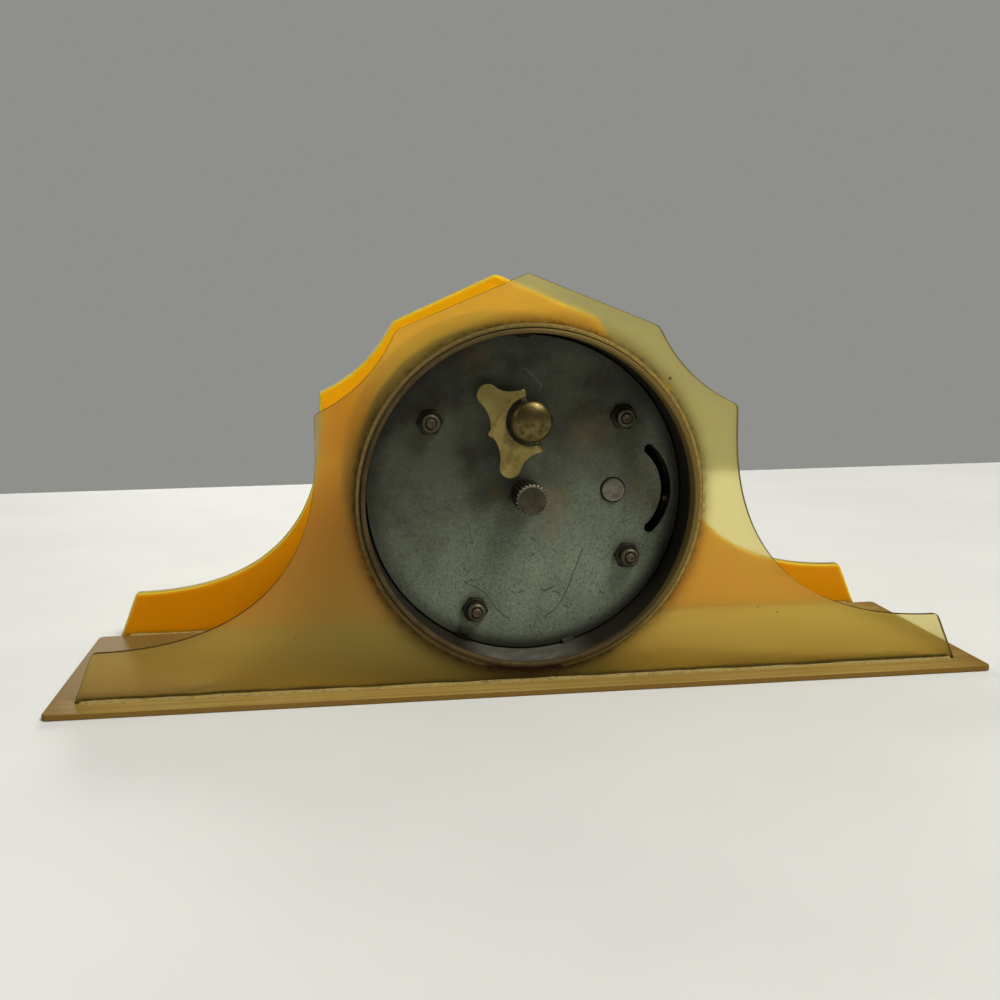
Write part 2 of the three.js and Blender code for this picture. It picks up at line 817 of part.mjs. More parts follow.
// Folding key: domed hub on the arbor, cross pin, and a butterfly wing whose ears turn on the pin
function keyHub() {
  const bottom = coverFace + keyGap;
  const domeStart = coverFace + keyDomeStart;
  const domeEdge = domeStart + keyDomeEdge;
  const boreTop = coverFace + keyHingeHeight - keyPinRadius - openFit / 2;
  const bore = windingRadius + seatGap;
  const dome = [];
  for (let i = 0; i < cornerSteps; i += 1) {
    const angle = (Math.PI * i) / (2 * cornerSteps);
    dome.push([keyDomeRadius * Math.cos(angle), domeEdge + keyDomeRise * Math.sin(angle)]);
  }
  const hub = turned([
    [0, boreTop],
    [bore, boreTop],
    [bore, bottom],
    [keyStemRadius, bottom],
    [keyStemRadius, domeStart],
    [keyDomeRadius, domeStart],
    ...dome,
    [0, domeEdge + keyDomeRise],
  ], boreFacets);
  const pinHole = rod(keyPinRadius + seatGap, -keyDomeRadius, keyDomeRadius, tinyFacets).rotateY(Math.PI / 2);
  return cut(hub, pinHole.translate(0, 0, coverFace + keyHingeHeight));
}

const wingCut = keyDomeRadius + wingClearance;
const earInner = wingCut + seatGap;
const earOuter = earInner + earLength;

function keyPin() {
  const length = earOuter + seatGap;
  const pin = rod(keyPinRadius, -length, length, tinyFacets).rotateY(Math.PI / 2);
  return pin.translate(0, 0, coverFace + keyHingeHeight);
}

function wingHalf() {
  const lobe = [wingLobeSpread, wingLobeReach];
  const edge = new THREE.QuadraticBezierCurve(
    new THREE.Vector2(wingNubHalfWidth, wingNubReach - wingNubHalfWidth),
    new THREE.Vector2(wingLobeSpread / 2, wingWaistReach - wingNubHalfWidth),
    new THREE.Vector2(...polar(lobe, wingLobeRadius, lobeTop)),
  ).getPoints(wingSteps);
  const tip = [];
  for (let direction = lobeTop - lobeStep; direction > lobeEnd; direction -= lobeStep) {
    tip.push(new THREE.Vector2(...polar(lobe, wingLobeRadius, direction)));
  }
  const inside = new THREE.QuadraticBezierCurve(
    new THREE.Vector2(...polar(lobe, wingLobeRadius, lobeEnd)),
    new THREE.Vector2(earOuter, wingLobeReach / 2),
    new THREE.Vector2(earOuter, 0),
  ).getPoints(wingSteps);
  const ear = [new THREE.Vector2(earInner, 0)];
  const rim = [];
  for (let i = 1; i <= wingSteps; i += 1) {
    rim.push(new THREE.Vector2(...polar([0, 0], wingCut, (90 * i) / (wingSteps + 1))));
  }
  return [...edge, ...tip, ...inside, ...ear, ...rim];
}

function keyWing() {
  const half = wingHalf();
  const mirrored = half.map((point) => new THREE.Vector2(-point.x, point.y)).reverse();
  const shape = new THREE.Shape([
    new THREE.Vector2(0, wingNubReach),
    ...half,
    new THREE.Vector2(0, wingCut),
    ...mirrored,
  ]);
  const middle = coverFace + keyHingeHeight;
  const body = plate(shape, middle - wingThickness / 2, middle + wingThickness / 2);
  const ears = [earInner, -earOuter].map((from) => (
    rod(earRadius, from, from + earLength, tinyFacets).rotateY(Math.PI / 2).translate(0, 0, middle)
  ));
  const hole = rod(keyPinRadius + runningFit, -earOuter * 2, earOuter * 2, tinyFacets).rotateY(Math.PI / 2);
  return cut(joined(body, ...ears), hole.translate(0, 0, middle));
}

// Escapement
function escapeWheel() {
  const points = [];
  const root = escapeRadius - escapeToothDepth;
  const pitch = (2 * Math.PI) / escapeTeeth;
  for (let i = 0; i < escapeTeeth; i += 1) {
    const tip = [[escapeRadius, 0], [escapeRadius, escapeTipShare]];
    const gap = [[root, escapeBackShare], [root, escapeGapShare]];
    for (const [radius, share] of [...tip, ...gap]) {
      const angle = pitch * (i + share);
      points.push(new THREE.Vector2(radius * Math.cos(angle), radius * Math.sin(angle)));
    }
  }
  const shape = new THREE.Shape(points);
  addHole(shape, [0, 0], wheelSeatRadius + pressFit);
  return plate(shape, level(escapeLevel + wheelThickness), level(escapeLevel));
}

const leverLevel = escapeLevel + wheelThickness + leverGap;
const palletPinMove = palletDistance * Math.tan(radians(palletSwing));
const palletPinCircle = escapeRadius + palletPinRadius + palletPinMove;

// The lever lies in front of the escape wheel: two pins reach back beside the teeth, a fork meets the balance
function palletLever() {
  const pins = [palletPinSpread, -palletPinSpread].map((direction) => (
    new THREE.Vector2(...polar([-palletDistance, 0], palletPinCircle, direction))
  ));
  const forkEnd = span(palletSpot, balanceSpot) - impulseCircle - impulsePinRadius - openFit;
  const arm = leverArm / 2;
  const shape = new THREE.Shape([
    new THREE.Vector2(pins[1].x - arm, pins[1].y - arm / 2),
    new THREE.Vector2(pins[1].x + arm, pins[1].y - arm),
    new THREE.Vector2(wheelSeatRadius, -leverBoss),
    new THREE.Vector2(forkEnd - forkWidth, -forkWidth / 3),
    new THREE.Vector2(forkEnd, -forkWidth / 2),
    new THREE.Vector2(forkEnd, -forkSlot / 2),
    new THREE.Vector2(forkEnd - forkSlot, 0),
    new THREE.Vector2(forkEnd, forkSlot / 2),
    new THREE.Vector2(forkEnd, forkWidth / 2),
    new THREE.Vector2(forkEnd - forkWidth, forkWidth / 3),
    new THREE.Vector2(wheelSeatRadius, leverBoss),
    new THREE.Vector2(pins[0].x + arm, pins[0].y + arm),
    new THREE.Vector2(pins[0].x - arm, pins[0].y + arm / 2),
    new THREE.Vector2(-leverBoss, 0),
  ]);
  addHole(shape, [0, 0], wheelSeatRadius + pressFit);
  const body = plate(shape, level(leverLevel + leverThickness), level(leverLevel));
  const posts = pins.map((pin) => {
    const post = rod(palletPinRadius, level(leverLevel + leverThickness / 2), level(escapeLevel), tinyFacets);
    return post.translate(pin.x, pin.y, 0);
  });
  return joined(body, ...posts);
}

function balanceStaff() {
  const rear = level(screwReach + pivotGap);
  const front = frontPlateInside + screwReach + pivotGap;
  const roller = level(leverLevel + leverThickness + openFit);
  const staff = turned([
    [0, front],
    [staffRadius, front + staffTip],
    [staffRadius, roller - leverThickness],
    [rollerRadius, roller - leverThickness],
    [rollerRadius, roller],
    [staffRadius, roller],
    [staffRadius, rear - staffTip],
    [0, rear],
  ], smallFacets);
  const pin = rod(impulsePinRadius, roller - leverThickness / 2, level(leverLevel), tinyFacets);
  return joined(staff, pin.translate(-impulseCircle, 0, 0));
}

function balanceWheel() {
  const shape = roundShape(balanceRadius, plateFacets);
  addHole(shape, [0, 0], staffRadius + pressFit);
  const inner = balanceRadius - balanceRim;
  for (let i = 0; i < balanceSpokes; i += 1) {
    const middle = (360 * (i + 0.5)) / balanceSpokes;
    const outerHalf = 180 / balanceSpokes - degrees(balanceSpokeWidth / 2 / inner);
    const innerHalf = 180 / balanceSpokes - degrees(balanceSpokeWidth / 2 / balanceHubRadius);
    const points = [];
    for (let step = -windowSteps; step <= windowSteps; step += 1) {
      points.push(new THREE.Vector2(...polar([0, 0], inner, middle + (outerHalf * step) / windowSteps)));
    }
    for (let step = 1; step >= -1; step -= 1) {
      points.push(new THREE.Vector2(...polar([0, 0], balanceHubRadius, middle + innerHalf * step)));
    }
    shape.holes.push(new THREE.Path(points));
  }
  return plate(shape, level(balanceLevel + balanceThickness), level(balanceLevel));
}

// The hairspring's outer end is pinned in a stud on the rear plate
function hairspring() {
  const coil = spiralPath([0, 0], hairspringInner, hairspringPitch, hairspringTurns, Math.PI);
  const shape = stripShape(coil, hairspringThickness);
  const end = coil[coil.length - 1];
  const spring = plate(shape, level(hairspringLevel + hairspringWidth), level(hairspringLevel));
  const studFrom = level(hairspringLevel + hairspringWidth);
  const stud = rod(hairspringStudRadius, studFrom, level(seatGap), tinyFacets);
  return joined(spring, stud.translate(end.x - hairspringStudRadius / 2, end.y, 0));
}

function rearScrew() {
  const headFrom = rearPlateFace + seatGap;
  const headTo = coverFace + screwHeadProud;
  return turned([
    [0, level(screwReach)],
    [screwShankRadius, level(screwReach)],
    [screwShankRadius, headFrom],
    [screwHeadRadius, headFrom],
    [screwHeadRadius, headTo],
    [0, headTo],
  ], boreFacets);
}

function frontScrew() {
  const headFrom = frontPlateFace - seatGap;
  const headTo = headFrom - screwHeadProud;
  return turned([
    [0, frontPlateInside + screwReach],
    [screwShankRadius, frontPlateInside + screwReach],
    [screwShankRadius, headFrom],
    [screwHeadRadius, headFrom],
    [screwHeadRadius, headTo],
    [0, headTo],
  ], smallFacets);
}

// The regulator turns on the rear screw's shank, and its index stands in the slots of both plates
function regulator() {
  const inner = screwShankRadius + runningFit;
  const outer = inner + regulatorRing;
  const from = level(regulatorLevel + regulatorThickness);
  const to = level(regulatorLevel);
  const ring = tube(inner, outer, from, to, boreFacets);
  const armFrom = inner + regulatorRing / 2;
  const arm = new THREE.BoxGeometry(slotCircle - armFrom, regulatorArmWidth, regulatorThickness);
  arm.translate((slotCircle + armFrom) / 2, 0, (from + to) / 2);
  const index = rod(regulatorIndexRadius, (from + to) / 2, coverFace - regulatorSunk, tinyFacets);
  return joined(ring, arm, index.translate(slotCircle, 0, 0));
}

// Hands and motion work, forward of the front plate
const ahead = (distance) => frontPlateFace - distance;
const minuteWheelAhead = motionGap;
const hourWheelAhead = minuteWheelAhead + motionWheelThickness + motionGap;
const hourHandFrom = dialFace - handGap;
const hourHandTo = hourHandFrom - handThickness;
const minuteHandFrom = hourHandTo - handGap;
const minuteHandTo = minuteHandFrom - handThickness;
const hourPipeRadius = cannonPipeRadius + runningFit + hourPipeWall;
const centreSeatEnd = centreLevel + wheelThickness;
const washerLevel = centreSeatEnd + leafOverlap / 2 + seatGap;
const collarLevel = washerLevel + frictionWasherThickness + seatGap;

function minuteArbor() {
  const rear = coverFace + knobGap + knobBoreDepth - seatGap;
  const front = minuteHandTo - arborTip;
  return turned([
    [0, front],
    [minuteArborRadius, front],
    [minuteArborRadius, level(collarLevel + arborCollarLength)],
    [arborCollarRadius, level(collarLevel + arborCollarLength)],
    [arborCollarRadius, level(collarLevel)],
    [minuteArborRadius, level(collarLevel)],
    [minuteArborRadius, rear],
    [0, rear],
  ], smallFacets);
}

function centrePinion() {
  const seat = rod(centreSeatRadius, level(washerLevel - seatGap), level(greatLevel));
  const from = level(centreLevel - seatGap);
  const toothed = leaves(centreLeaves, greatModule, from, level(greatLevel - leafOverlap));
  const bore = rod(minuteArborRadius + runningFit, level(collarLevel), rearPlateInside);
  return cut(joined(toothed, seat), bore);
}

function cannonPinion() {
  const pipe = rod(cannonPipeRadius, minuteHandFrom + seatGap, ahead(minuteWheelAhead));
  const to = ahead(motionGap / 2);
  const from = ahead(minuteWheelAhead + motionWheelThickness + motionGap / 4);
  const bore = rod(minuteArborRadius + pressFit, minuteHandTo, frontPlateFace);
  return cut(joined(leaves(cannonLeaves, minuteModule, from, to), pipe), bore);
}

function minuteWheel() {
  const from = ahead(minuteWheelAhead + motionWheelThickness);
  const toothed = plate(wheelShape(minuteTeeth, minuteModule), from, ahead(minuteWheelAhead));
  const leafFrom = ahead(hourWheelAhead + motionWheelThickness + motionGap / 2);
  const leafBody = leaves(minuteLeaves, hourModule, leafFrom, from + motionWheelThickness / 2);
  const bore = rod(minuteStudRadius + runningFit, leafFrom - cutMargin, frontPlateFace);
  return cut(joined(toothed, leafBody), bore);
}

function minuteStud() {
  const end = ahead(hourWheelAhead + motionWheelThickness + motionGap);
  return rod(minuteStudRadius, end, frontPlateInside, tinyFacets);
}

function hourWheel() {
  const from = ahead(hourWheelAhead + motionWheelThickness);
  const toothed = plate(wheelShape(hourTeeth, hourModule), from, ahead(hourWheelAhead));
  const pipe = rod(hourPipeRadius, hourHandTo - seatGap, from + motionWheelThickness / 2);
  const bore = rod(cannonPipeRadius + runningFit, minuteHandTo, frontPlateFace, boreFacets);
  return cut(joined(toothed, pipe), bore);
}

function hand(reach, tail, width, bossRadius, bore, from, to) {
  const blade = new THREE.Shape([
    new THREE.Vector2(-width / 2, -tail),
    new THREE.Vector2(width / 2, -tail),
    new THREE.Vector2(width / 2, reach * handTaper),
    new THREE.Vector2(0, reach),
    new THREE.Vector2(-width / 2, reach * handTaper),
  ]);
  const boss = plate(roundShape(bossRadius, boreFacets), from, to);
  return cut(joined(plate(blade, from, to), boss), rod(bore, from - cutMargin, to + cutMargin, boreFacets));
}

function setKnob() {
  const points = [];
  for (let i = 0; i < knobKnurls * 2; i += 1) {
    const radius = i % 2 ? knobRadius - knobKnurlDepth : knobRadius;
    points.push(new THREE.Vector2(...polar([0, 0], radius, (180 * i) / knobKnurls)));
  }
  const bottom = coverFace + knobGap;
  const body = plate(new THREE.Shape(points), bottom, coverFace + knobTop);
  const bore = rod(minuteArborRadius + pressFit, bottom - cutMargin, bottom + knobBoreDepth);
  return cut(body, bore);
}

// Assembly: in the upright group, seen from behind, local x points right, y up and z at the viewer
const clock = new THREE.Group();
addPart(clock, "base_plate", baseSheet(), "oliveSheet");

const upright = new THREE.Group();
upright.rotation.set(Math.PI / 2, 0, Math.PI, "ZYX");
clock.add(upright);
const rearOutline = panelShape(baseThickness + glueGap, 1, rearCornerHalfWidth);
const rearPanel = plate(rearOutline, rearPanelFace - rearPanelThickness, rearPanelFace);
addPart(upright, "rear_panel", rearPanel, "paleSheet");
const frontOutline = panelShape(0, frontPanelStretch, frontCornerHalfWidth);
const frontPanel = plate(frontOutline, frontPanelFace, frontPanelBack);
addPart(upright, "front_panel", frontPanel, "amberSheet");

const drum = new THREE.Group();
drum.position.set(0, drumHeight, 0);
upright.add(drum);
const collar = tube(drumRadius + drumFit, collarRadius, rearPanelFace + glueGap, collarFace, largeFacets);
addPart(drum, "rear_collar", collar, "oliveSheet");
addPart(drum, "drum_shell", drumShell(), "drumSteel");
addPart(drum, "front_bezel", bezel(), "brass");
addPart(drum, "crystal", crystal(), "glass");
addPart(drum, "sight_ring", sightRing(), "brass");
addPart(drum, "dial", dial(), "dialPaint");

const movement = new THREE.Group();
drum.add(movement);
addPart(movement, "back_cover", backCover(), "darkSteel");
const rearPlate = movementPlate(rearPlateInside, rearPlateFace, windingRadius + runningFit, true);
addPart(movement, "rear_plate", rearPlate, "wheelBrass");
const frontPlate = movementPlate(frontPlateFace, frontPlateInside, windingPivotRadius + runningFit, false);
addPart(movement, "front_plate", frontPlate, "wheelBrass");
pillarSpots.forEach((spot, i) => {
  addPart(movement, `pillar_${i + 1}`, pillar(), "plainSteel", spot);
  const spacerFrom = rearPlateFace + seatGap;
  const spacer = tube(studRadius + runningFit, spacerRadius, spacerFrom, coverBack - seatGap, tinyFacets);
  addPart(movement, `cover_spacer_${i + 1}`, spacer, "plainSteel", spot);
  addPart(movement, `pillar_nut_${i + 1}`, pillarNut(), "darkSteel", spot, i);
});

addPart(movement, "winding_arbor", windingArbor(), "plainSteel", windingSpot);
addPart(movement, "ratchet_wheel", ratchetWheel(), "plainSteel", windingSpot);
const clickTurn = bearing(windingSpot, centreSpot);
addPart(movement, "great_wheel", greatWheel(), "wheelBrass", windingSpot, clickTurn);
const clickSpot = polar(windingSpot, clickCircle, degrees(clickTurn) + 90);
addPart(movement, "click", clickPiece(), "plainSteel", clickSpot, clickTurn);
addPart(movement, "click_spring", clickSpring(), "springSteel", windingSpot, clickTurn);
addPart(movement, "mainspring", mainspring(), "springSteel");

const key = new THREE.Group();
key.position.set(windingSpot[0], windingSpot[1], 0);
key.rotation.z = radians(keyTurn);
movement.add(key);
addPart(key, "key_hub", keyHub(), "brass");
addPart(key, "key_pin", keyPin(), "plainSteel");
addPart(key, "key_wing", keyWing(), "brass");

const gapToward = (from, to, teeth) => bearing(from, to) + Math.PI / teeth;
const centrePinionTurn = gapToward(centreSpot, windingSpot, centreLeaves);
addPart(movement, "centre_pinion", centrePinion(), "plainSteel", centreSpot, centrePinionTurn);
const centreWheel = trainWheel(centreTeeth, thirdModule, centreLevel, centreSeatRadius + pressFit);
addPart(movement, "centre_wheel", centreWheel, "wheelBrass", centreSpot, bearing(centreSpot, thirdSpot));
const washerFrom = level(washerLevel + frictionWasherThickness);
const washer = tube(minuteArborRadius + runningFit, frictionWasherRadius, washerFrom, level(washerLevel));
addPart(movement, "friction_washer", washer, "springSteel");

const wheelBore = wheelSeatRadius + pressFit;
const thirdPinion = pinion(thirdLeaves, thirdModule, centreLevel, thirdLevel);
const thirdPinionTurn = gapToward(thirdSpot, centreSpot, thirdLeaves);
addPart(movement, "third_pinion", thirdPinion, "plainSteel", thirdSpot, thirdPinionTurn);
const thirdWheel = trainWheel(thirdTeeth, fourthModule, thirdLevel, wheelBore);
addPart(movement, "third_wheel", thirdWheel, "wheelBrass", thirdSpot, bearing(thirdSpot, fourthSpot));
const fourthPinion = pinion(fourthLeaves, fourthModule, thirdLevel, fourthLevel);
const fourthPinionTurn = gapToward(fourthSpot, thirdSpot, fourthLeaves);
addPart(movement, "fourth_pinion", fourthPinion, "plainSteel", fourthSpot, fourthPinionTurn);
const fourthWheel = trainWheel(fourthTeeth, escapeModule, fourthLevel, wheelBore);
addPart(movement, "fourth_wheel", fourthWheel, "wheelBrass", fourthSpot, bearing(fourthSpot, escapeSpot));
const escapePinion = pinion(escapeLeaves, escapeModule, fourthLevel, escapeLevel);
const escapePinionTurn = gapToward(escapeSpot, fourthSpot, escapeLeaves);
addPart(movement, "escape_pinion", escapePinion, "plainSteel", escapeSpot, escapePinionTurn);
addPart(movement, "escape_wheel", escapeWheel(), "wheelBrass", escapeSpot);

const palletArbor = trainArbor(level(leverLevel - seatGap), level(leverLevel + leverThickness + seatGap));
addPart(movement, "pallet_arbor", palletArbor, "plainSteel", palletSpot);
addPart(movement, "pallet_lever", palletLever(), "wheelBrass", palletSpot, palletTurn);
const staffTurn = bearing(palletSpot, balanceSpot);
addPart(movement, "balance_staff", balanceStaff(), "plainSteel", balanceSpot, staffTurn);
addPart(movement, "balance_wheel", balanceWheel(), "wheelBrass", balanceSpot, staffTurn);
addPart(movement, "hairspring", hairspring(), "springSteel", balanceSpot);
addPart(movement, "balance_screw_rear", rearScrew(), "plainSteel", balanceSpot);
addPart(movement, "balance_screw_front", frontScrew(), "plainSteel", balanceSpot);
addPart(movement, "regulator", regulator(), "plainSteel", balanceSpot, radians(regulatorRest));

addPart(movement, "minute_arbor", minuteArbor(), "plainSteel");
addPart(movement, "set_knob", setKnob(), "darkSteel");
const cannonTurn = gapToward(centreSpot, minuteSpot, cannonLeaves);
addPart(movement, "cannon_pinion", cannonPinion(), "plainSteel", centreSpot, cannonTurn);
addPart(movement, "minute_stud", minuteStud(), "plainSteel", minuteSpot);
addPart(movement, "minute_wheel", minuteWheel(), "wheelBrass", minuteSpot, bearing(minuteSpot, centreSpot));
const hourWheelTurn = gapToward(centreSpot, minuteSpot, hourTeeth);
addPart(movement, "hour_wheel", hourWheel(), "wheelBrass", centreSpot, hourWheelTurn);
const hourBore = hourPipeRadius + pressFit;
const hourHand = hand(hourHandReach, handTail, handWidth, handBossRadius, hourBore, hourHandTo, hourHandFrom);
addPart(movement, "hour_hand", hourHand, "handPaint", centreSpot, radians(hourHandTurn));
const minuteBore = minuteArborRadius + pressFit;
const minuteHand = hand(
  minuteHandReach,
  handTail,
  handWidth,
  minuteBossRadius,
  minuteBore,
  minuteHandTo,
  minuteHandFrom,
);
addPart(movement, "minute_hand", minuteHand, "handPaint", centreSpot, radians(minuteHandTurn));

export default clock;
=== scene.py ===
import functools
import json
import math
import random
import bpy
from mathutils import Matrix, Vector


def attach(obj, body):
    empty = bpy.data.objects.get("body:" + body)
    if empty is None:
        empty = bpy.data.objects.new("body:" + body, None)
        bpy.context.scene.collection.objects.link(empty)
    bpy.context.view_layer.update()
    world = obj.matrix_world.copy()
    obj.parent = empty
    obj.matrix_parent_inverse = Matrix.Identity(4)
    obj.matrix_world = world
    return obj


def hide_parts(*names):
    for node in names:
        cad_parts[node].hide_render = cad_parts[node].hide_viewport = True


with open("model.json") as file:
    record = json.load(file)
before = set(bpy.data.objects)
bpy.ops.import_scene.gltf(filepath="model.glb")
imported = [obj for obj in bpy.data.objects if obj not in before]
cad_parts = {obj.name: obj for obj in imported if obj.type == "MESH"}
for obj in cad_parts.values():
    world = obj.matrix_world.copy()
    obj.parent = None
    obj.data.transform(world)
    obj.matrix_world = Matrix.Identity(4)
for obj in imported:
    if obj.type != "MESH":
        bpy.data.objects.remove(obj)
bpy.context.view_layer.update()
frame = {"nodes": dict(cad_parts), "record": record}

scene = bpy.context.scene
mm = 0.001
drumHeight = 35.1  # middle of the drum above the table
coverRadius = 29.9
overrun = 1  # how far a cutter runs past the piece it cuts, mm
flatAngle = 12  # degrees, keeps the flat faces of sheets crisp
print("frame loaded:", len(frame["nodes"]), "nodes")


# camera first, then the light and the floor
cameraValues = {
    "spot": (33.1, 238.47, 68.76),
    "turn": (81.326, 0.85, 172.731),
    "lens": 43.9,
    "sensor": 36,
    "nearest": 10,
}

lightValues = {
    "key": {
        "spot": (-560, 680, 1200), "aim": (0, 0, 35), "size": 520,
        "power": 20, "colour": (1, 0.98, 0.9), "through": True,
    },
    "back": {
        "spot": (100, -1500, 180), "aim": (0, 0, 40), "size": 700,
        "power": 21, "colour": (1, 0.98, 0.92), "through": False,
    },
    "side": {
        "spot": (900, 300, 500), "aim": (0, 0, 35), "size": 500,
        "power": 0.8, "colour": (0.95, 0.97, 1), "through": True,
    },
}


def metres(*values):
    return tuple(value * mm for value in values)


def setCamera(values):
    bpy.ops.object.camera_add(
        location=metres(*values["spot"]),
        rotation=[math.radians(angle) for angle in values["turn"]],
    )
    camera = bpy.context.object
    camera.name = "bench_camera"
    camera.data.lens = values["lens"]
    camera.data.sensor_width = values["sensor"]
    camera.data.clip_start = values["nearest"] * mm
    scene.camera = camera


def setLight(name, values):
    spot = Vector(metres(*values["spot"]))
    aim = Vector(metres(*values["aim"]))
    turn = (aim - spot).to_track_quat("-Z", "Y").to_euler()
    bpy.ops.object.light_add(type="AREA", location=spot, rotation=turn)
    light = bpy.context.object
    light.name = name + "_light"
    light.data.size = values["size"] * mm
    light.data.energy = values["power"]
    light.data.color = values["colour"]
    light.visible_camera = False
    light.visible_transmission = values["through"]


bpy.ops.object.select_all(action="DESELECT")
scene.view_settings.view_transform = "Standard"
setCamera(cameraValues)
for lightName, values in lightValues.items():
    setLight(lightName, values)
print("camera and lights set")


# shader sockets as values: + - * / and so on add the Math nodes
class Wire:
    def __init__(self, socket):
        self.socket = socket

    def node(self, kind, settings=None, sockets=None, out=0):
        tree = self.socket.id_data
        made = tree.nodes.new("ShaderNode" + kind)
        for name, value in (settings or {}).items():
            setattr(made, name, value)
        for name, value in (sockets or {}).items():
            if isinstance(value, Wire):
                tree.links.new(value.socket, made.inputs[name])
            else:
                made.inputs[name].default_value = value
        return Wire(made.outputs[out])

    def also(self, name):  # another output of the same node
        return Wire(self.socket.node.outputs[name])

    def math(self, operation, *values):
        return self.node("Math", {"operation": operation}, dict(enumerate(values)))

    def __add__(self, other):
        return self.math("ADD", self, other)

    def __radd__(self, other):
        return self.math("ADD", other, self)

    def __sub__(self, other):
        return self.math("SUBTRACT", self, other)

    def __rsub__(self, other):
        return self.math("SUBTRACT", other, self)

    def __mul__(self, other):
        return self.math("MULTIPLY", self, other)

    def __rmul__(self, other):
        return self.math("MULTIPLY", other, self)

    def __truediv__(self, other):
        return self.math("DIVIDE", self, other)

    def __pow__(self, other):
        return self.math("POWER", self, other)

    def __abs__(self):
        return self.math("ABSOLUTE", self)

    def below(self, limit):
        return self.math("LESS_THAN", self, limit)

    def most(self, other):
        return self.math("MAXIMUM", self, other)

    def rise(self, low, high):  # 0 under low, 1 over high, smooth between
        sockets = {"Value": self, "From Min": low, "From Max": high}
        return self.node("MapRange", {"interpolation_type": "SMOOTHSTEP"}, sockets)

    def blend(self, first, second):  # colours: this value is the second's share
        return self.node("Mix", {"data_type": "RGBA"}, {0: self, 6: first, 7: second}, 2)

    def axis(self, letter):
        return self.node("SeparateXYZ", {}, {"Vector": self}, letter)

    def at(self, letter):  # the same in mm
        return self.axis(letter) / mm

    def grain(self, size, detail=3, rough=0.55, stretch=None, turn=0):  # noise with features of that many mm
        place = self
        if turn:
            place = place.node("Mapping", {}, {"Vector": place, "Rotation": (0, turn, 0)})
        if stretch:
            place = place.node("Mapping", {}, {"Vector": place, "Scale": stretch})
        sockets = {"Vector": place, "Scale": 1 / (size * mm), "Detail": detail, "Roughness": rough}
        return self.node("TexNoise", {}, sockets)

    def specks(self, pitch, reach, share):  # round marks in a share of the cells
        cell = self.node("TexVoronoi", {}, {"Vector": self, "Scale": 1 / (pitch * mm)}, "Distance")
        chance = self.node("SeparateColor", {}, {"Color": cell.also("Color")})
        return (1 - cell.rise(reach * 0.5, reach)) * chance.below(share)

    def radius(self, spot=(0, drumHeight)):  # mm from a spot seen from behind
        return ((self.at("X") - spot[0]) ** 2 + (self.at("Z") - spot[1]) ** 2) ** 0.5

    def smudges(self, spots):  # each spot has its place, its reach in mm and its strength
        return strongest((1 - self.radius(spot).rise(0, reach)) * amount for spot, reach, amount in spots)

    def stroke(self, points, width):  # a fine line through points on the cover
        across, up = self.at("X"), self.at("Z")

        def segment(start, end):
            x, z = start
            dx, dz = end[0] - x, end[1] - z
            share = ((across - x) * dx + (up - z) * dz) / (dx * dx + dz * dz)
            share = share.math("MINIMUM", share.most(0), 1)
            away = ((across - x - share * dx) ** 2 + (up - z - share * dz) ** 2) ** 0.5
            return 1 - away.rise(width * 0.3, width)

        return strongest(segment(start, end) for start, end in zip(points, points[1:]))

    def bump(self, strength, depth):
        return self.node("Bump", {}, {"Strength": strength, "Distance": depth * mm, "Height": self})


def strongest(marks):
    return functools.reduce(Wire.most, marks)


worldValues = {
    "far": (0.275, 0.278, 0.262, 1), "near": (0.06, 0.06, 0.055, 1), "change": (-0.35, 0.3), "strength": 1,
}


def setWorld(values):
    world = bpy.data.worlds.new("studio")
    world.use_nodes = True
    background = world.node_tree.nodes["Background"]
    background.inputs["Strength"].default_value = values["strength"]
    aim = Wire(world.node_tree.nodes.new("ShaderNodeTexCoord").outputs["Generated"])
    shade = aim.axis("Y").rise(*values["change"]).blend(values["far"], values["near"])
    world.node_tree.links.new(shade.socket, background.inputs["Color"])
    scene.world = world


setWorld(worldValues)


def newFinish(name, values):  # the place has the normal as another output
    material = bpy.data.materials.new(name)
    material.use_nodes = True
    shader = material.node_tree.nodes["Principled BSDF"]
    for socket, value in values.get("fixed", {}).items():
        shader.inputs[socket].default_value = value
    coordinates = material.node_tree.nodes.new("ShaderNodeTexCoord")
    return material, Wire(coordinates.outputs["Object"])


def layers(values, under, *coats):  # a coat is its share of the surface and its colour or colour's name
    colour = values[under]
    for share, coat in coats:
        colour = share.blend(colour, coat if isinstance(coat, Wire) else values[coat])
    return colour


def roughness(values, share):
    base, spread = values["rough"]
    return base + spread * share


shaderSockets = {
    "colour": "Base Color", "rough": "Roughness", "metal": "Metallic", "normal": "Normal", "alpha": "Alpha",
}


def feed(material, **wires):
    shader = material.node_tree.nodes["Principled BSDF"]
    for name, wire in wires.items():
        material.node_tree.links.new(wire.socket, shader.inputs[shaderSockets[name]])
    return material


# sheets of the case: named ranges are mm along an axis or from the drum's middle
paleValues = {
    "fixed": {
        "Transmission Weight": 0.77, "IOR": 1.04,
        "Coat Weight": 0.25, "Coat Roughness": 0.35, "Coat IOR": 1.4,
    },
    "clear": (0.84, 0.72, 0.18, 1),
    "aged": (0.75, 0.58, 0.15, 1),
    "foot": (0.52, 0.37, 0.08, 1),
    "shade": (0.42, 0.27, 0.06, 1),
    "halo": (0.20, 0.12, 0.025, 1),
    "dirt": (0.03, 0.016, 0.006, 1),
    "rough": (0.27, 0.1),
    "veil": 0.7,
    "low": (1, 13), "footDirt": (2, 3.4), "haloFrom": 32, "haloTo": 35, "grime": (32.1, 33.4),
    # the smudges here are painted shade: darker brown spots on the sheet left of the drum
    "smudges": [((38, 33), 26, 0.65), ((33, 50), 18, 0.75)],
}


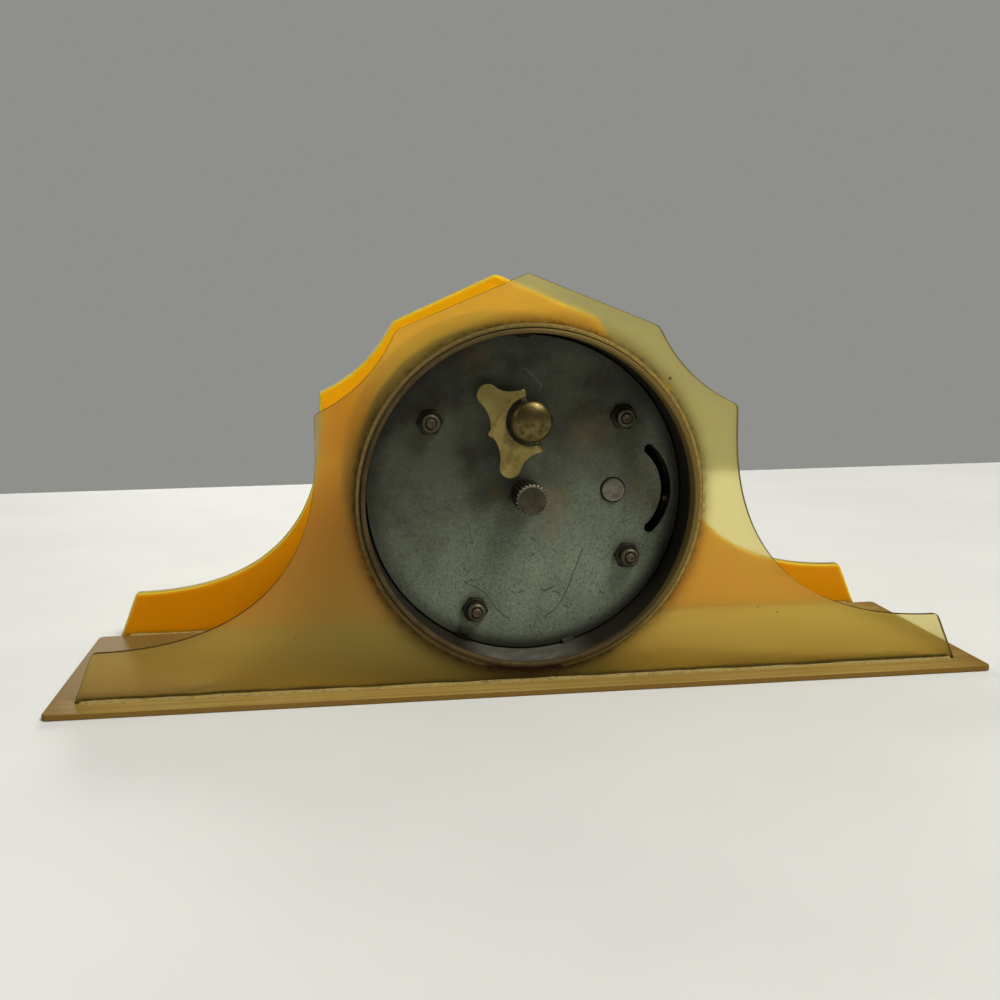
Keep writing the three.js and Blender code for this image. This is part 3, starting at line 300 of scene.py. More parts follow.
def paleSheet(values):
    material, place = newFinish("pale_sheet", values)
    z, ring = place.at("Z"), place.radius()
    cloud = place.grain(38, 4, 0.6).rise(0.35, 0.72)
    # painted shade: the sheet turns browner towards its lower left, where less light comes through; the aged
    # coat also takes some random cloud
    lowerLeftShade = (place.at("X") * 0.8 - z).rise(-75, 5)
    low = 1 - z.rise(*values["low"])
    halo = (1 - ring.rise(values["haloFrom"], values["haloTo"] + 2 * cloud)) * 0.65
    specks = place.specks(7, 0.06, 0.5).most(place.specks(3.1, 0.07, 0.14))
    grime = (1 - ring.rise(*values["grime"])) * place.grain(1.5, 4, 0.7).rise(0.4, 0.65) * 0.7
    foot = (1 - (z + place.grain(1.2, 3) * 1.6).rise(*values["footDirt"])) * 0.62
    dirt = specks.most(grime).most(foot)
    # the shade coat is painted shade
    colour = layers(
        values, "clear", (lowerLeftShade * 0.85 + cloud * 0.15, "aged"), (low * 0.75, "foot"),
        (place.smudges(values["smudges"]), "shade"), (halo, "halo"), (dirt, "dirt"),
    )
    rough = roughness(values, place.grain(3, 4, 0.7)) + dirt * 0.3
    alpha = values["veil"] + (1 - values["veil"]) * dirt.most(halo)
    return feed(material, colour=colour, rough=rough, alpha=alpha, normal=place.grain(16, 2).bump(0.02, 0.06))


edgeValues = {
    "fixed": {"Specular IOR Level": 0},
    "dark": (0.04, 0.024, 0.005, 1),
    "brown": (0.075, 0.046, 0.01, 1),
    "rough": (0.55, 0.2),
}


def sawnEdge(values):
    material, place = newFinish("sawn_edge", values)
    marks = place.grain(0.8, 4, 0.7, (1, 0.2, 1)).rise(0.35, 0.65)
    colour = layers(values, "dark", (marks, "brown"))
    return feed(material, colour=colour, rough=roughness(values, marks), normal=marks.bump(0.3, 0.05))


amberValues = {
    "fixed": {
        "Transmission Weight": 0.32, "IOR": 1.3, "Specular IOR Level": 0.15, "Subsurface Weight": 0.6,
        "Subsurface Radius": (1.0, 0.45, 0.05), "Subsurface Scale": 0.003,
    },
    # deep and lit are shaded and lit copies of the amber: painted light
    "deep": (0.76, 0.31, 0.001, 1),
    "lit": (0.93, 0.49, 0.004, 1),
    "edge": (0.96, 0.84, 0.08, 1),
    "upper": (0.82, 0.70, 0.07, 1),
    "outline": (0.13, 0.09, 0.015, 1),
    "dirt": (0.2, 0.11, 0.02, 1),
    "rough": (0.24, 0.14),
    "high": (-10, 70), "footDirt": (1.8, 3),
}


def amberSheet(values):
    material, place = newFinish("amber_sheet", values)
    facing, z = place.also("Normal"), place.at("Z")
    cloud = place.grain(30, 4, 0.6, (1, 1, 2)).rise(0.3, 0.7)
    # painted light: the sheet takes the lit colour higher up and the deep colour lower down
    high = (z - place.at("X") * 0.2).rise(*values["high"])
    level = abs(facing.axis("Y"))
    edge = 1 - level.rise(0.9, 0.98)
    edgeColour = layers(values, "edge", (facing.axis("Z").rise(0.15, 0.5), "upper"))
    outline = 0.85 - level.rise(0.15, 0.4) * 0.85
    foot = (1 - (z + place.grain(1.4, 3) * 1.5).rise(*values["footDirt"])) * 0.5
    dirt = place.specks(6, 0.05, 0.4).most(foot)
    colour = layers(
        values, "deep", (high * 0.9 + cloud * 0.1, "lit"), (edge * 0.85, edgeColour),
        (outline, "outline"), (dirt, "dirt"),
    )
    rough = roughness(values, place.grain(4, 4, 0.7)) + dirt * 0.2 + edge * 0.3
    relief = place.grain(0.4, 3, 0.6) * 0.3 + place.grain(12, 2) * 3 + dirt * 0.3
    return feed(material, colour=colour, rough=rough, normal=relief.bump(0.1, 0.05))


oliveValues = {
    "fixed": {"Specular IOR Level": 0, "Coat Weight": 0.06, "Coat Roughness": 0.3},
    "sheet": (0.46, 0.325, 0.082, 1),
    "wearAndHighlight": (0.55, 0.41, 0.13, 1),
    # inner is painted shade for the base between the panels
    "inner": (0.31, 0.215, 0.066, 1),
    "edge": (0.19, 0.105, 0.022, 1),
    "dirt": (0.09, 0.05, 0.02, 1),
    "rough": (0.55, 0.2),
    "strip": (18, 20.5), "innerShadeAcross": (-70, 20), "corner": (80, 92), "innerShadeEnd": (56, 74),
}


def oliveSheet(values):
    material, place = newFinish("olive_sheet", values)
    x = place.at("X")
    cloud = place.grain(20, 4, 0.55).rise(0.3, 0.72)
    # painted shade: the strip between the panels takes the inner colour, stronger towards +X and darker still
    # at that end
    inner = 1 - place.at("Y").rise(*values["strip"])
    streaks = place.grain(1.3, 4, 0.7, (0.02, 1, 1)).rise(0.42, 0.6)
    innerShadeAcross = 0.3 + 0.6 * x.rise(*values["innerShadeAcross"])
    corner = (abs(x) + place.grain(6, 3) * 8).rise(*values["corner"])
    ends = (corner * 0.85).most(inner * x.rise(*values["innerShadeEnd"]) * 0.8)
    edge = 1 - abs(place.also("Normal").axis("Z")).rise(0.35, 0.8)
    dust = place.grain(0.8, 4, 0.7).rise(0.6, 0.72) * 0.35
    dirt = place.specks(4, 0.07, 0.4).most(dust)
    colour = layers(
        values, "sheet", (cloud, "wearAndHighlight"),
        (streaks * (0.2 - 0.16 * inner) + 0.47 * (1 - inner), "edge"), (inner * innerShadeAcross, "inner"),
        (ends, "edge"), (edge * 0.85, "edge"), (dirt, "dirt"),
    )
    rough = roughness(values, place.grain(2.5, 4, 0.7)) + dirt * 0.2
    relief = place.grain(0.3, 3, 0.6) * 0.3 + place.grain(9, 2) * 2 + dirt * 0.4
    return feed(material, colour=colour, rough=rough, normal=relief.bump(0.1, 0.05))


# painted light goes where this mask is high, on the collar and on the drum
def rightSide(place):  # the upper right of the drum's mouth, seen from behind
    return (place.at("Z") * 0.4 - place.at("X") * 0.9).rise(14, 40)


collarFinish = {
    "fixed": {"Specular IOR Level": 0.05},
    "light": (0.19, 0.138, 0.042, 1),
    "lit": (0.34, 0.235, 0.06, 1),
    "dark": (0.045, 0.03, 0.012, 1),
    "residue": (0.055, 0.02, 0.012, 1),
    "rough": (0.4, 0.25),
    "innerLine": (31.3, 31.55), "outerLine": (31.9, 32.05),
    "patch": [(8.5, 3.95), (5, 3.5), (0, 3.3), (-4.5, 3.5)], "patchWidth": 1.3,
}


def collarSheet(values):
    material, place = newFinish("collar_sheet", values)
    ring = place.radius()
    grime = place.grain(0.9, 4, 0.7).rise(0.4, 0.65)
    line = (1 - ring.rise(*values["innerLine"])).most(ring.rise(*values["outerLine"]))
    patch = place.stroke(values["patch"], values["patchWidth"]) * place.grain(0.5, 4, 0.7).rise(0.25, 0.4)
    colour = layers(
        # painted light: the upper right of the collar takes the lit colour
        values, "light", (rightSide(place), "lit"), ((line * 0.8).most(grime * 0.45), "dark"),
        (patch, "residue"),
    )
    relief = place.grain(0.35, 4, 0.7) + patch
    return feed(material, colour=colour, rough=roughness(values, grime), normal=relief.bump(0.2, 0.06))


glueValues = {
    "fixed": {"Transmission Weight": 0.2, "IOR": 1.48},
    "resin": (0.42, 0.30, 0.085, 1),
    "bubble": (0.66, 0.55, 0.26, 1),
    "dirt": (0.07, 0.04, 0.015, 1),
}


def driedGlue(values):
    material, place = newFinish("dried_glue", values)
    dirt = place.grain(0.9, 4, 0.7).rise(0.45, 0.75) * 0.7
    bubbles = place.specks(0.7, 0.3, 0.4).most(place.specks(0.35, 0.3, 0.3))
    colour = layers(values, "resin", (dirt, "dirt"), (bubbles, "bubble"))
    relief = place.grain(0.4, 4, 0.7) + bubbles
    return feed(material, colour=colour, rough=0.5 - bubbles * 0.2, normal=relief.bump(0.5, 0.12))


# metals
drumValues = {
    "fixed": {"Specular IOR Level": 0.2},
    "bare": (0.105, 0.074, 0.032, 1),
    "brown": (0.05, 0.032, 0.012, 1),
    "lit": (0.2, 0.135, 0.034, 1),
    "rust": (0.10, 0.045, 0.017, 1),
    # inside is painted shade on the drum's inner wall; the next colour is painted light on the bottom of that
    # wall
    "inside": (0.01, 0.008, 0.006, 1),
    "wearAndHighlight": (0.105, 0.098, 0.085, 1),
    "rough": (0.42, 0.25),
    "mouth": (20.5, 21.3), "wallDepth": (20.5, 21.9), "outerDepth": (20.5, 21.4), "rightDeeper": 1.9,
    "wall": (30.25, 30.5), "outer": (30.6, 30.75), "litBandAcross": 3, "litBandBelow": (6, 9.5),
}


def drumSteel(values):
    material, place = newFinish("drum_steel", values)
    y, ring, right = place.at("Y"), place.radius(), rightSide(place)
    turned = place.grain(0.6, 3, 0.6, (0.04, 1, 0.04))
    patina = place.grain(5, 5, 0.65).rise(0.38, 0.66)
    rust = place.specks(1.6, 0.22, 0.2).most(place.grain(2.2, 4, 0.7).rise(0.63, 0.72))
    depth = y + right * values["rightDeeper"]
    # painted light: the upper right of the mouth takes the lit colour, with turned rings drawn only there
    lit = right * depth.rise(*values["mouth"]) * 0.9
    turns = ring * 16 + y * 5 + place.grain(6, 3) * 2
    lines = turns.math("SINE", turns).rise(0, 0.9) * lit
    # painted shade: the inner wall is near black, and its edge sits deeper on the lit side
    wall = (1 - ring.rise(*values["wall"])) * (1 - depth.rise(*values["wallDepth"]))
    # painted light: a paler band low on the inner wall, where light falls on it
    height = place.at("Z") + abs(place.at("X") - values["litBandAcross"]) * 0.12
    wearAndHighlight = wall * (1 - height.rise(*values["litBandBelow"]))
    outer = ring.rise(*values["outer"]) * (1 - y.rise(*values["outerDepth"]))
    colour = layers(
        values, "bare", (patina * 0.8, "brown"), (rust * 0.7, "rust"), (lit, "lit"), (lines * 0.8, "brown"),
        (wall * 0.95, "inside"), (wearAndHighlight * (0.6 + 0.4 * patina), "wearAndHighlight"),
    )
    rough = roughness(values, place.grain(2, 4, 0.7)) + rust * 0.2 + outer * 0.3 + wall * 0.15
    metal = (0.75 - rust * 0.5 - patina * 0.25) * (1 - wall.most(lit) * 0.7)
    relief = turned + place.grain(0.5, 3) * 0.5 + rust
    return feed(material, colour=colour, rough=rough, metal=metal, normal=relief.bump(0.16, 0.06))


coverValues = {
    "steel": (0.245, 0.295, 0.205, 1),
    "dull": (0.042, 0.04, 0.025, 1),
    "rust": (0.165, 0.10, 0.028, 1),
    "pit": (0.022, 0.022, 0.018, 1),
    "bright": (0.42, 0.42, 0.36, 1),
    "rough": (0.46, 0.2),
    "high": (12, 50), "pitted": (16, 44), "rim": (26.6, 29.7), "wallShadowSide": (-40, -10),
    "nickTurns": (0.3, 1.25, -0.75, 2.2),
    "smudges": [
        ((-5.6, 33.6), 4.2, 0.85), ((-5.4, 30.4), 3.6, 0.6), ((-22.1, 35.1), 4.0, 0.55),
        ((-12.4, 46.5), 6.5, 0.55), ((5.9, 35.5), 3.2, 0.6), ((9, 61.5), 5, 0.5), ((-22.6, 38.5), 3, 0.7),
        ((-4.6, 28), 3, 0.6), ((17.8, 49.1), 4.6, 0.4), ((10, 13.2), 4.4, 0.4), ((-19.5, 22.6), 4.2, 0.4),
        ((-25.5, 33), 5.5, 0.6),
    ],
    "scratches": [
        ([(-11, 24.2), (-9.6, 20.6), (-8.2, 17), (-6.8, 14.1), (-5.4, 12.4), (-3.5, 11.1)], 0.15),
        ([(11.8, 18.4), (9.8, 17.5), (8, 16.3), (6.9, 14.7), (5.8, 12.9), (4.1, 11.4), (3.4, 11.1)], 0.14),
        ([(-2.8, 16.5), (-3.6, 16.2), (-4.4, 16.5), (-5.2, 16.9)], 0.2),
        ([(-5.1, 16), (-5.8, 15.9), (-6.4, 15.5)], 0.16),
    ],
    # painted shadows round the hub, the knob, the nuts and the balance cap
    "shadowSpots": [
        ((0.6, 49.6), 6.8, 0.85), ((1.6, 36), 5.2, 0.85), ((17.9, 49.3), 3.6, 0.6), ((-18.7, 49.4), 3.8, 0.7),
        ((-19.2, 22.9), 3.8, 0.75), ((10.3, 13.5), 3.8, 0.75), ((-16.6, 35.4), 3.2, 0.7),
    ],
    "fibre": [(-0.1, 58.8), (-1.4, 57.7), (-2.5, 56.6), (-3.3, 55.5), (-3, 54.5)], "fibreWidth": 0.12,
}


def coverSteel(values):
    material, place = newFinish("cover_steel", values)
    x, z = place.at("X"), place.at("Z")
    cloud = place.grain(9, 5, 0.62).rise(0.34, 0.7)
    # darker towards the top and towards +X: partly painted shade cast by the drum's rim, partly patina
    high = (z + x * 0.35).rise(*values["high"])
    mottle = place.grain(0.7, 4, 0.75).rise(0.45, 0.7)
    fine = place.grain(0.3, 3, 0.7).rise(0.42, 0.62)
    rust = place.smudges(values["smudges"]) * (0.3 + 0.7 * place.grain(1.1, 5, 0.75).rise(0.42, 0.62))
    low = 0.3 + 0.7 * (1 - z.rise(*values["pitted"]))
    crowd = place.grain(7, 3).rise(0.36, 0.58)
    pits = place.specks(0.95, 0.17, 0.5).most(place.specks(0.5, 0.22, 0.4)) * low * crowd
    nicks = strongest(
        place.grain(0.42, 2, 0.5, (1, 1, 0.17), turn).rise(0.665, 0.72) for turn in values["nickTurns"]
    )
    nicks = nicks * low * place.grain(4, 3).rise(0.45, 0.62) * 0.85
    lines = strongest(place.stroke(points, width) for points, width in values["scratches"])
    # painted shadows round the raised parts
    halo = place.smudges(values["shadowSpots"])
    # painted shadow of the drum's wall: a dark ring at the cover's edge, stronger towards -X and the bottom
    rim = place.radius().rise(*values["rim"]) * (0.45 + 0.5 * (0 - x - z).rise(*values["wallShadowSide"]))
    # the disc's edge and the walls of its holes take the pit colour too
    wall = 1 - abs(place.also("Normal").axis("Y")).rise(0.3, 0.7)
    dark = pits.most(nicks).most(lines * 0.8)
    shine = place.specks(1.1, 0.1, 0.3).most(place.stroke(values["fibre"], values["fibreWidth"]) * 0.6)
    # the pit coat holds real pits, nicks and scratches as well as the painted shadows
    colour = layers(
        values, "steel", (cloud * 0.2 + high * 0.8, "dull"), (mottle * 0.32 + fine * 0.36, "dull"),
        (rust, "rust"), (dark.most(halo).most(rim).most(wall * 0.9), "pit"), (shine * 0.45, "bright"),
    )
    rough = roughness(values, cloud) + rust * 0.2 + dark * 0.15
    metal = 0.55 - rust * 0.4 - dark * 0.3
    relief = place.grain(0.4, 4, 0.7) * 0.5 - dark * 1.5 + rust * 0.3
    return feed(material, colour=colour, rough=rough, metal=metal, normal=relief.bump(0.22, 0.06))


nutValues = {
    "nut": {
        "steel": (0.125, 0.104, 0.062, 1), "dirt": (0.052, 0.04, 0.021, 1), "side": (0.022, 0.017, 0.011, 1),
        "speck": (0.3, 0.27, 0.2, 1), "glint": (0.115, 0.096, 0.058, 1),
        "rough": (0.34, 0.25), "size": 0.9, "rings": 0.5,
    },
    "knob": {
        "steel": (0.075, 0.066, 0.04, 1), "dirt": (0.028, 0.023, 0.013, 1), "side": (0.045, 0.038, 0.022, 1),
        "speck": (0.36, 0.32, 0.24, 1), "glint": (0.36, 0.32, 0.22, 1),
        "rough": (0.3, 0.25), "size": 1.8, "rings": 0.42,
    },
}
# faces marks where the painted shade of the sides ends; the knob and rim ranges place a painted highlight on
# the knob's rim
nutMarks = {
    "faces": (14, 14.6), "knobUpper": (35.4, 37.2), "knobTop": (21.1, 21.35),
    "rimFrom": (2.35, 2.6), "rimTo": (3.2, 3.4),
}


def nutSteel(name, values, marks=nutMarks):
    material, place = newFinish(name + "_steel", values)
    facing, y, ring = place.also("Normal").axis("Y"), place.at("Y"), place.radius()
    patina = place.grain(values["size"], 5, 0.7).rise(0.36, 0.62)
    faces = y.rise(*marks["faces"])
    # painted shade: the sides, and all below the end faces, take the dark side colour
    side = 1 - facing.rise(0.2, 0.75) * faces
    specks = place.specks(0.6, 0.16, 0.25)
    # painted highlights: the chamfers, and the top of the knob's rim, take the glint colour
    chamfer = facing.rise(0.2, 0.4) * (1 - facing.rise(0.86, 0.96)) * faces
    rim = ring.rise(*marks["rimFrom"]) * (1 - ring.rise(*marks["rimTo"])) * y.rise(*marks["knobTop"])
    rim = rim * place.at("Z").rise(*marks["knobUpper"]) * place.grain(0.35, 3).rise(0.38, 0.55)
    wearAndHighlight = (chamfer * 0.6).most(rim * 0.6)
    colour = layers(
        values, "steel", (patina, "dirt"), (side * 0.9, "side"), (specks * 0.35, "speck"), (wearAndHighlight, "glint"),
    )
    relief = place.grain(0.3, 4, 0.7) + place.grain(values["rings"], 2, 0.5, (1, 0.1, 1)) * 0.4
    metal = (0.9 - patina * 0.35) * (1 - wearAndHighlight * 0.6)
    rough = roughness(values, patina)
    return feed(material, colour=colour, rough=rough, metal=metal, normal=relief.bump(0.3, 0.05))


plainValues = {
    "steel": (0.19, 0.175, 0.138, 1),
    "dull": (0.125, 0.113, 0.087, 1),
    "pit": (0.05, 0.042, 0.03, 1),
    "rough": (0.3, 0.2),
}


def plainSteel(values):
    material, place = newFinish("plain_steel", values)
    patina = place.grain(1.3, 5, 0.7).rise(0.42, 0.68)
    pits = place.specks(0.55, 0.2, 0.25).most(place.grain(0.22, 3, 0.7).rise(0.5, 0.68) * 0.7)
    scratches = place.grain(0.25, 2, 0.5, (1, 1, 0.08)).rise(0.6, 0.75)
    colour = layers(values, "steel", (patina, "dull"), (pits * 0.7, "pit"))
    rough = roughness(values, patina) + pits * 0.2
    relief = scratches * 0.5 + place.grain(0.2, 3) * 0.3 - pits
    return feed(material, colour=colour, rough=rough, metal=0.95 - pits * 0.3, normal=relief.bump(0.14, 0.04))


springValues = {
    "blue": (0.10, 0.115, 0.15, 1),
    "straw": (0.20, 0.17, 0.13, 1),
    "rough": (0.25, 0.2),
}


def springSteel(values):
    material, place = newFinish("spring_steel", values)
    temper = place.grain(3, 3, 0.6).rise(0.35, 0.7)
    colour = layers(values, "blue", (temper, "straw"))
    rough = roughness(values, place.grain(0.8, 4, 0.7))
    relief = place.grain(0.25, 2, 0.5, (1, 0.1, 1))
    return feed(material, colour=colour, rough=rough, metal=temper * 0.1 + 0.9, normal=relief.bump(0.1, 0.03))


brassValues = {
    "wing": {
        "clean": (0.30, 0.235, 0.075, 1), "tarnish": (0.21, 0.162, 0.05, 1), "dark": (0.09, 0.062, 0.02, 1),
        "glint": (0.36, 0.29, 0.11, 1), "rough": (0.34, 0.2), "size": 2.4,
    },
    "hub": {
        "clean": (0.15, 0.114, 0.04, 1), "tarnish": (0.056, 0.04, 0.015, 1), "dark": (0.024, 0.016, 0.006, 1),
        "glint": (0.135, 0.098, 0.036, 1), "rough": (0.3, 0.22), "size": 1.4,
    },
    "bezel": {
        "clean": (0.62, 0.47, 0.17, 1), "tarnish": (0.38, 0.28, 0.10, 1), "dark": (0.15, 0.10, 0.04, 1),
        "glint": (0.66, 0.50, 0.19, 1), "rough": (0.2, 0.2), "size": 5,
    },
    "wheel": {
        "clean": (0.66, 0.50, 0.19, 1), "tarnish": (0.46, 0.33, 0.12, 1), "dark": (0.2, 0.13, 0.05, 1),
        "glint": (0.70, 0.54, 0.22, 1), "rough": (0.24, 0.2), "size": 3,
    },
    # plate is a darkened brass: painted shade for the plates inside the drum
    "plate": {
        "clean": (0.06, 0.045, 0.018, 1), "tarnish": (0.03, 0.022, 0.009, 1), "dark": (0.014, 0.01, 0.005, 1),
        "glint": (0.06, 0.045, 0.018, 1), "rough": (0.45, 0.2), "size": 4,
    },
}


def agedBrass(name, values):
    material, place = newFinish(name + "_brass", values)
    facing = place.also("Normal").axis("Y")
    patina = place.grain(values["size"], 5, 0.68).rise(0.36, 0.66)
    stains = place.grain(values["size"] * 0.6, 5, 0.75).rise(0.6, 0.75).most(place.specks(0.8, 0.2, 0.2))
    # painted highlight: faces tilted part way towards the back take the glint colour
    wearAndHighlight = facing.rise(0.15, 0.35) * (1 - facing.rise(0.8, 0.95))
    scratches = place.grain(0.3, 2, 0.5, (1, 1, 0.1)).rise(0.62, 0.74)
    colour = layers(values, "clean", (patina, "tarnish"), (stains * 0.7, "dark"), (wearAndHighlight * 0.6, "glint"))
    rough = roughness(values, patina) + stains * 0.15
    metal = 0.94 - stains * 0.3
    relief = scratches * 0.6 + place.grain(0.35, 4, 0.7) * 0.6 - stains * 0.4
    return feed(material, colour=colour, rough=rough, metal=metal, normal=relief.bump(0.18, 0.05))


# dial side
dialValues = {
    "fixed": {"Coat Weight": 0.15, "Coat Roughness": 0.2},
    "cream": (0.83, 0.77, 0.62, 1),
    "aged": (0.74, 0.65, 0.46, 1),
    "spot": (0.42, 0.30, 0.15, 1),
    "rough": (0.42, 0.15),
    "agedRim": (22, 30),
}


def dialPaint(values):
    material, place = newFinish("dial_paint", values)
    cloud = place.grain(9, 5, 0.65).rise(0.4, 0.7)
    aged = (cloud * 0.5).most(place.radius().rise(*values["agedRim"]) * (0.4 + 0.6 * cloud))
    foxing = place.specks(5, 0.06, 0.4)
    colour = layers(values, "cream", (aged, "aged"), (foxing * 0.6, "spot"))
    relief = place.grain(0.25, 3) * 0.6 + place.grain(3, 2)
    return feed(material, colour=colour, rough=roughness(values, cloud), normal=relief.bump(0.08, 0.04))


inkValues = {"black": (0.018, 0.016, 0.014, 1), "wearAndHighlight": (0.07, 0.06, 0.05, 1), "rough": (0.35, 0.25)}


def blackPaint(values):
    material, place = newFinish("black_paint", values)
    wearAndHighlight = place.grain(0.6, 4, 0.7).rise(0.55, 0.75)
    colour = layers(values, "black", (wearAndHighlight, "wearAndHighlight"))
    relief = place.grain(0.2, 3)
    return feed(material, colour=colour, rough=roughness(values, wearAndHighlight), normal=relief.bump(0.08, 0.03))


glassValues = {
    "fixed": {
        "Transmission Weight": 1, "IOR": 1.01, "Alpha": 0.5,
        "Coat Weight": 0.3, "Coat Roughness": 0.02, "Coat IOR": 1.5,
    },
    "clear": (0.96, 0.975, 0.965, 1),
    "dust": (0.86, 0.85, 0.80, 1),
    "rough": (0.015, 0.12),
    "dustyRim": (26, 30),
}


def crystalGlass(values):
    material, place = newFinish("crystal_glass", values)
    dust = place.radius().rise(*values["dustyRim"]) * place.grain(1.5, 4, 0.7).rise(0.35, 0.7)
    colour = layers(values, "clear", (dust, "dust"))
    relief = place.grain(8, 2)
    return feed(material, colour=colour, rough=roughness(values, dust), normal=relief.bump(0.02, 0.05))


finishes = {
    "pale_sheet": paleSheet(paleValues),
    "sawn_edge": sawnEdge(edgeValues),
    "amber_sheet": amberSheet(amberValues),
    "olive_sheet": oliveSheet(oliveValues),
    "collar_sheet": collarSheet(collarFinish),
    "dried_glue": driedGlue(glueValues),
    "drum_steel": drumSteel(drumValues),
    "cover_steel": coverSteel(coverValues),
    "nut_steel": nutSteel("nut", nutValues["nut"]),
    "knob_steel": nutSteel("knob", nutValues["knob"]),
    "plain_steel": plainSteel(plainValues),
    "spring_steel": springSteel(springValues),
    "key_brass": agedBrass("wing", brassValues["wing"]),
    "hub_brass": agedBrass("hub", brassValues["hub"]),
    "bezel_brass": agedBrass("bezel", brassValues["bezel"]),
    "wheel_brass": agedBrass("wheel", brassValues["wheel"]),
    "plate_brass": agedBrass("plate", brassValues["plate"]),
    "dial_paint": dialPaint(dialValues),
    "hand_paint": blackPaint(inkValues),
    "crystal_glass": crystalGlass(glassValues),
}
print("finishes made:", len(finishes))


# modelling helpers
selectModes = {"vertices": "VERT", "edges": "EDGE", "polygons": "FACE"}


def several(values, names):
    return [values[name] for name in names.split()]


def clearPick():
    bpy.ops.object.select_all(action="DESELECT")


def makeActive(piece):
    clearPick()
    piece.select_set(True)
    bpy.context.view_layer.objects.active = piece


def named(name):
    piece = bpy.context.object
    piece.name = name
    piece.data.name = name
    bpy.ops.object.transform_apply(location=True, rotation=True, scale=True)
    return piece


def editAll(kind="vertices"):
    bpy.ops.object.mode_set(mode="EDIT")
    bpy.ops.mesh.select_mode(type=selectModes[kind])
    bpy.ops.mesh.select_all(action="SELECT")


def leaveEdit():
    bpy.ops.object.mode_set(mode="OBJECT")


def mergePoints(reach=2e-7):
    editAll()
    bpy.ops.mesh.remove_doubles(threshold=reach)
    leaveEdit()


def tidyMesh():
    mergePoints()
    editAll()
    bpy.ops.mesh.normals_make_consistent(inside=False)
    leaveEdit()


def roundEdges(piece, width, segments=2, angle=40):
    makeActive(piece)
    bpy.ops.object.modifier_add(type="BEVEL")
    bevel = piece.modifiers[-1]
    bevel.width = width * mm
    bevel.segments = segments
    bevel.limit_method = "ANGLE"
    bevel.angle_limit = math.radians(angle)
    bpy.ops.object.modifier_apply(modifier=bevel.name)


def cutWith(piece, cutter, operation="DIFFERENCE"):
    makeActive(piece)
    bpy.ops.object.modifier_add(type="BOOLEAN")
    boolean = piece.modifiers[-1]
    boolean.operation = operation
    boolean.solver = "EXACT"
    boolean.object = cutter
    bpy.ops.object.modifier_apply(modifier=boolean.name)
    bpy.data.objects.remove(cutter)


def joinInto(piece, others):
    makeActive(piece)
    for other in others:
        other.select_set(True)
    bpy.ops.object.join()


def pick(piece, kind, wanted):  # leaves the piece in edit mode with the wanted parts of it selected
    makeActive(piece)
    editAll(kind)
    bpy.ops.mesh.select_all(action="DESELECT")
    leaveEdit()
    for part in getattr(piece.data, kind):
        part.select = wanted(part)
    bpy.ops.object.mode_set(mode="EDIT")


def bevelEdges(piece, width, segments, wanted):  # wanted gets both ends of an edge in mm
    ends = [vertex.co / mm for vertex in piece.data.vertices]
    pick(piece, "edges", lambda edge: wanted(*(ends[index] for index in edge.vertices)))
    bpy.ops.mesh.bevel(offset=width * mm, segments=segments, affect="EDGES")
    leaveEdit()


def extrude(move):
    bpy.ops.mesh.extrude_region_move(TRANSFORM_OT_translate={"value": move})


def drawChain(points, closed):  # starts from a primitive merged to one vertex, stays in edit mode
    clearPick()
    bpy.ops.mesh.primitive_plane_add(size=mm)
    editAll()
    bpy.ops.mesh.merge(type="CENTER")
    bpy.ops.transform.translate(value=points[0])
    for here, there in zip(points, points[1:] + points[:1] if closed else points[1:]):
        extrude(tuple(b - a for a, b in zip(here, there)))
    bpy.ops.mesh.select_all(action="SELECT")
    bpy.ops.mesh.remove_doubles(threshold=2e-7)
    bpy.ops.mesh.select_all(action="SELECT")


def spinAll(steps, spot, copies=False):
    middle = metres(spot[0], 0, spot[1])
    bpy.ops.mesh.spin(steps=steps, dupli=copies, angle=2 * math.pi, center=middle, axis=(0, 1, 0))


def leaveNamed(name):
    leaveEdit()
    piece = named(name)
    tidyMesh()
    return piece


def turnPiece(name, profile, spot=(0, drumHeight), steps=96, closed=False):
    drawChain([metres(spot[0] + radius, along, spot[1]) for radius, along in profile], closed)
    spinAll(steps, spot)
    return leaveNamed(name)


def platePiece(name, outline, start, end):  # outline points are (x, z)
    drawChain([metres(x, start, z) for x, z in outline], True)
    bpy.ops.mesh.edge_face_add()
    extrude(metres(0, end - start, 0))
    return leaveNamed(name)


def rodPiece(name, radius, start, end, sides=64, spot=(0, drumHeight)):
    clearPick()
    bpy.ops.mesh.primitive_cylinder_add(
        vertices=sides, radius=radius * mm, depth=abs(end - start) * mm,
        location=metres(spot[0], (start + end) / 2, spot[1]), rotation=(math.pi / 2, 0, 0),
    )
    return named(name)


def boxPiece(name, middle, size):
    clearPick()
    bpy.ops.mesh.primitive_cube_add(size=1, location=metres(*middle))
    bpy.context.object.scale = metres(*size)
    return named(name)


def arc(spot, radius, start, end, count):
    angles = [math.radians(start + (end - start) * i / count) for i in range(count + 1)]
    return [(spot[0] + radius * math.cos(a), spot[1] + radius * math.sin(a)) for a in angles]


def curve(points, count):  # a Bezier curve, any number of handles
    result = []
    for i in range(count + 1):
        row = [Vector(point) for point in points]
        while len(row) > 1:
            row = [a.lerp(b, i / count) for a, b in zip(row, row[1:])]
        result.append(tuple(row[0]))
    return result


def behind(right, up):  # a place on the cover, seen from behind, from the drum's middle
    return (-right, drumHeight + up)


def aroundDrum(angles):  # places for copies of what is modelled to one side of the axis
    return [((0, drumHeight), math.radians(180 + angle)) for angle in angles]


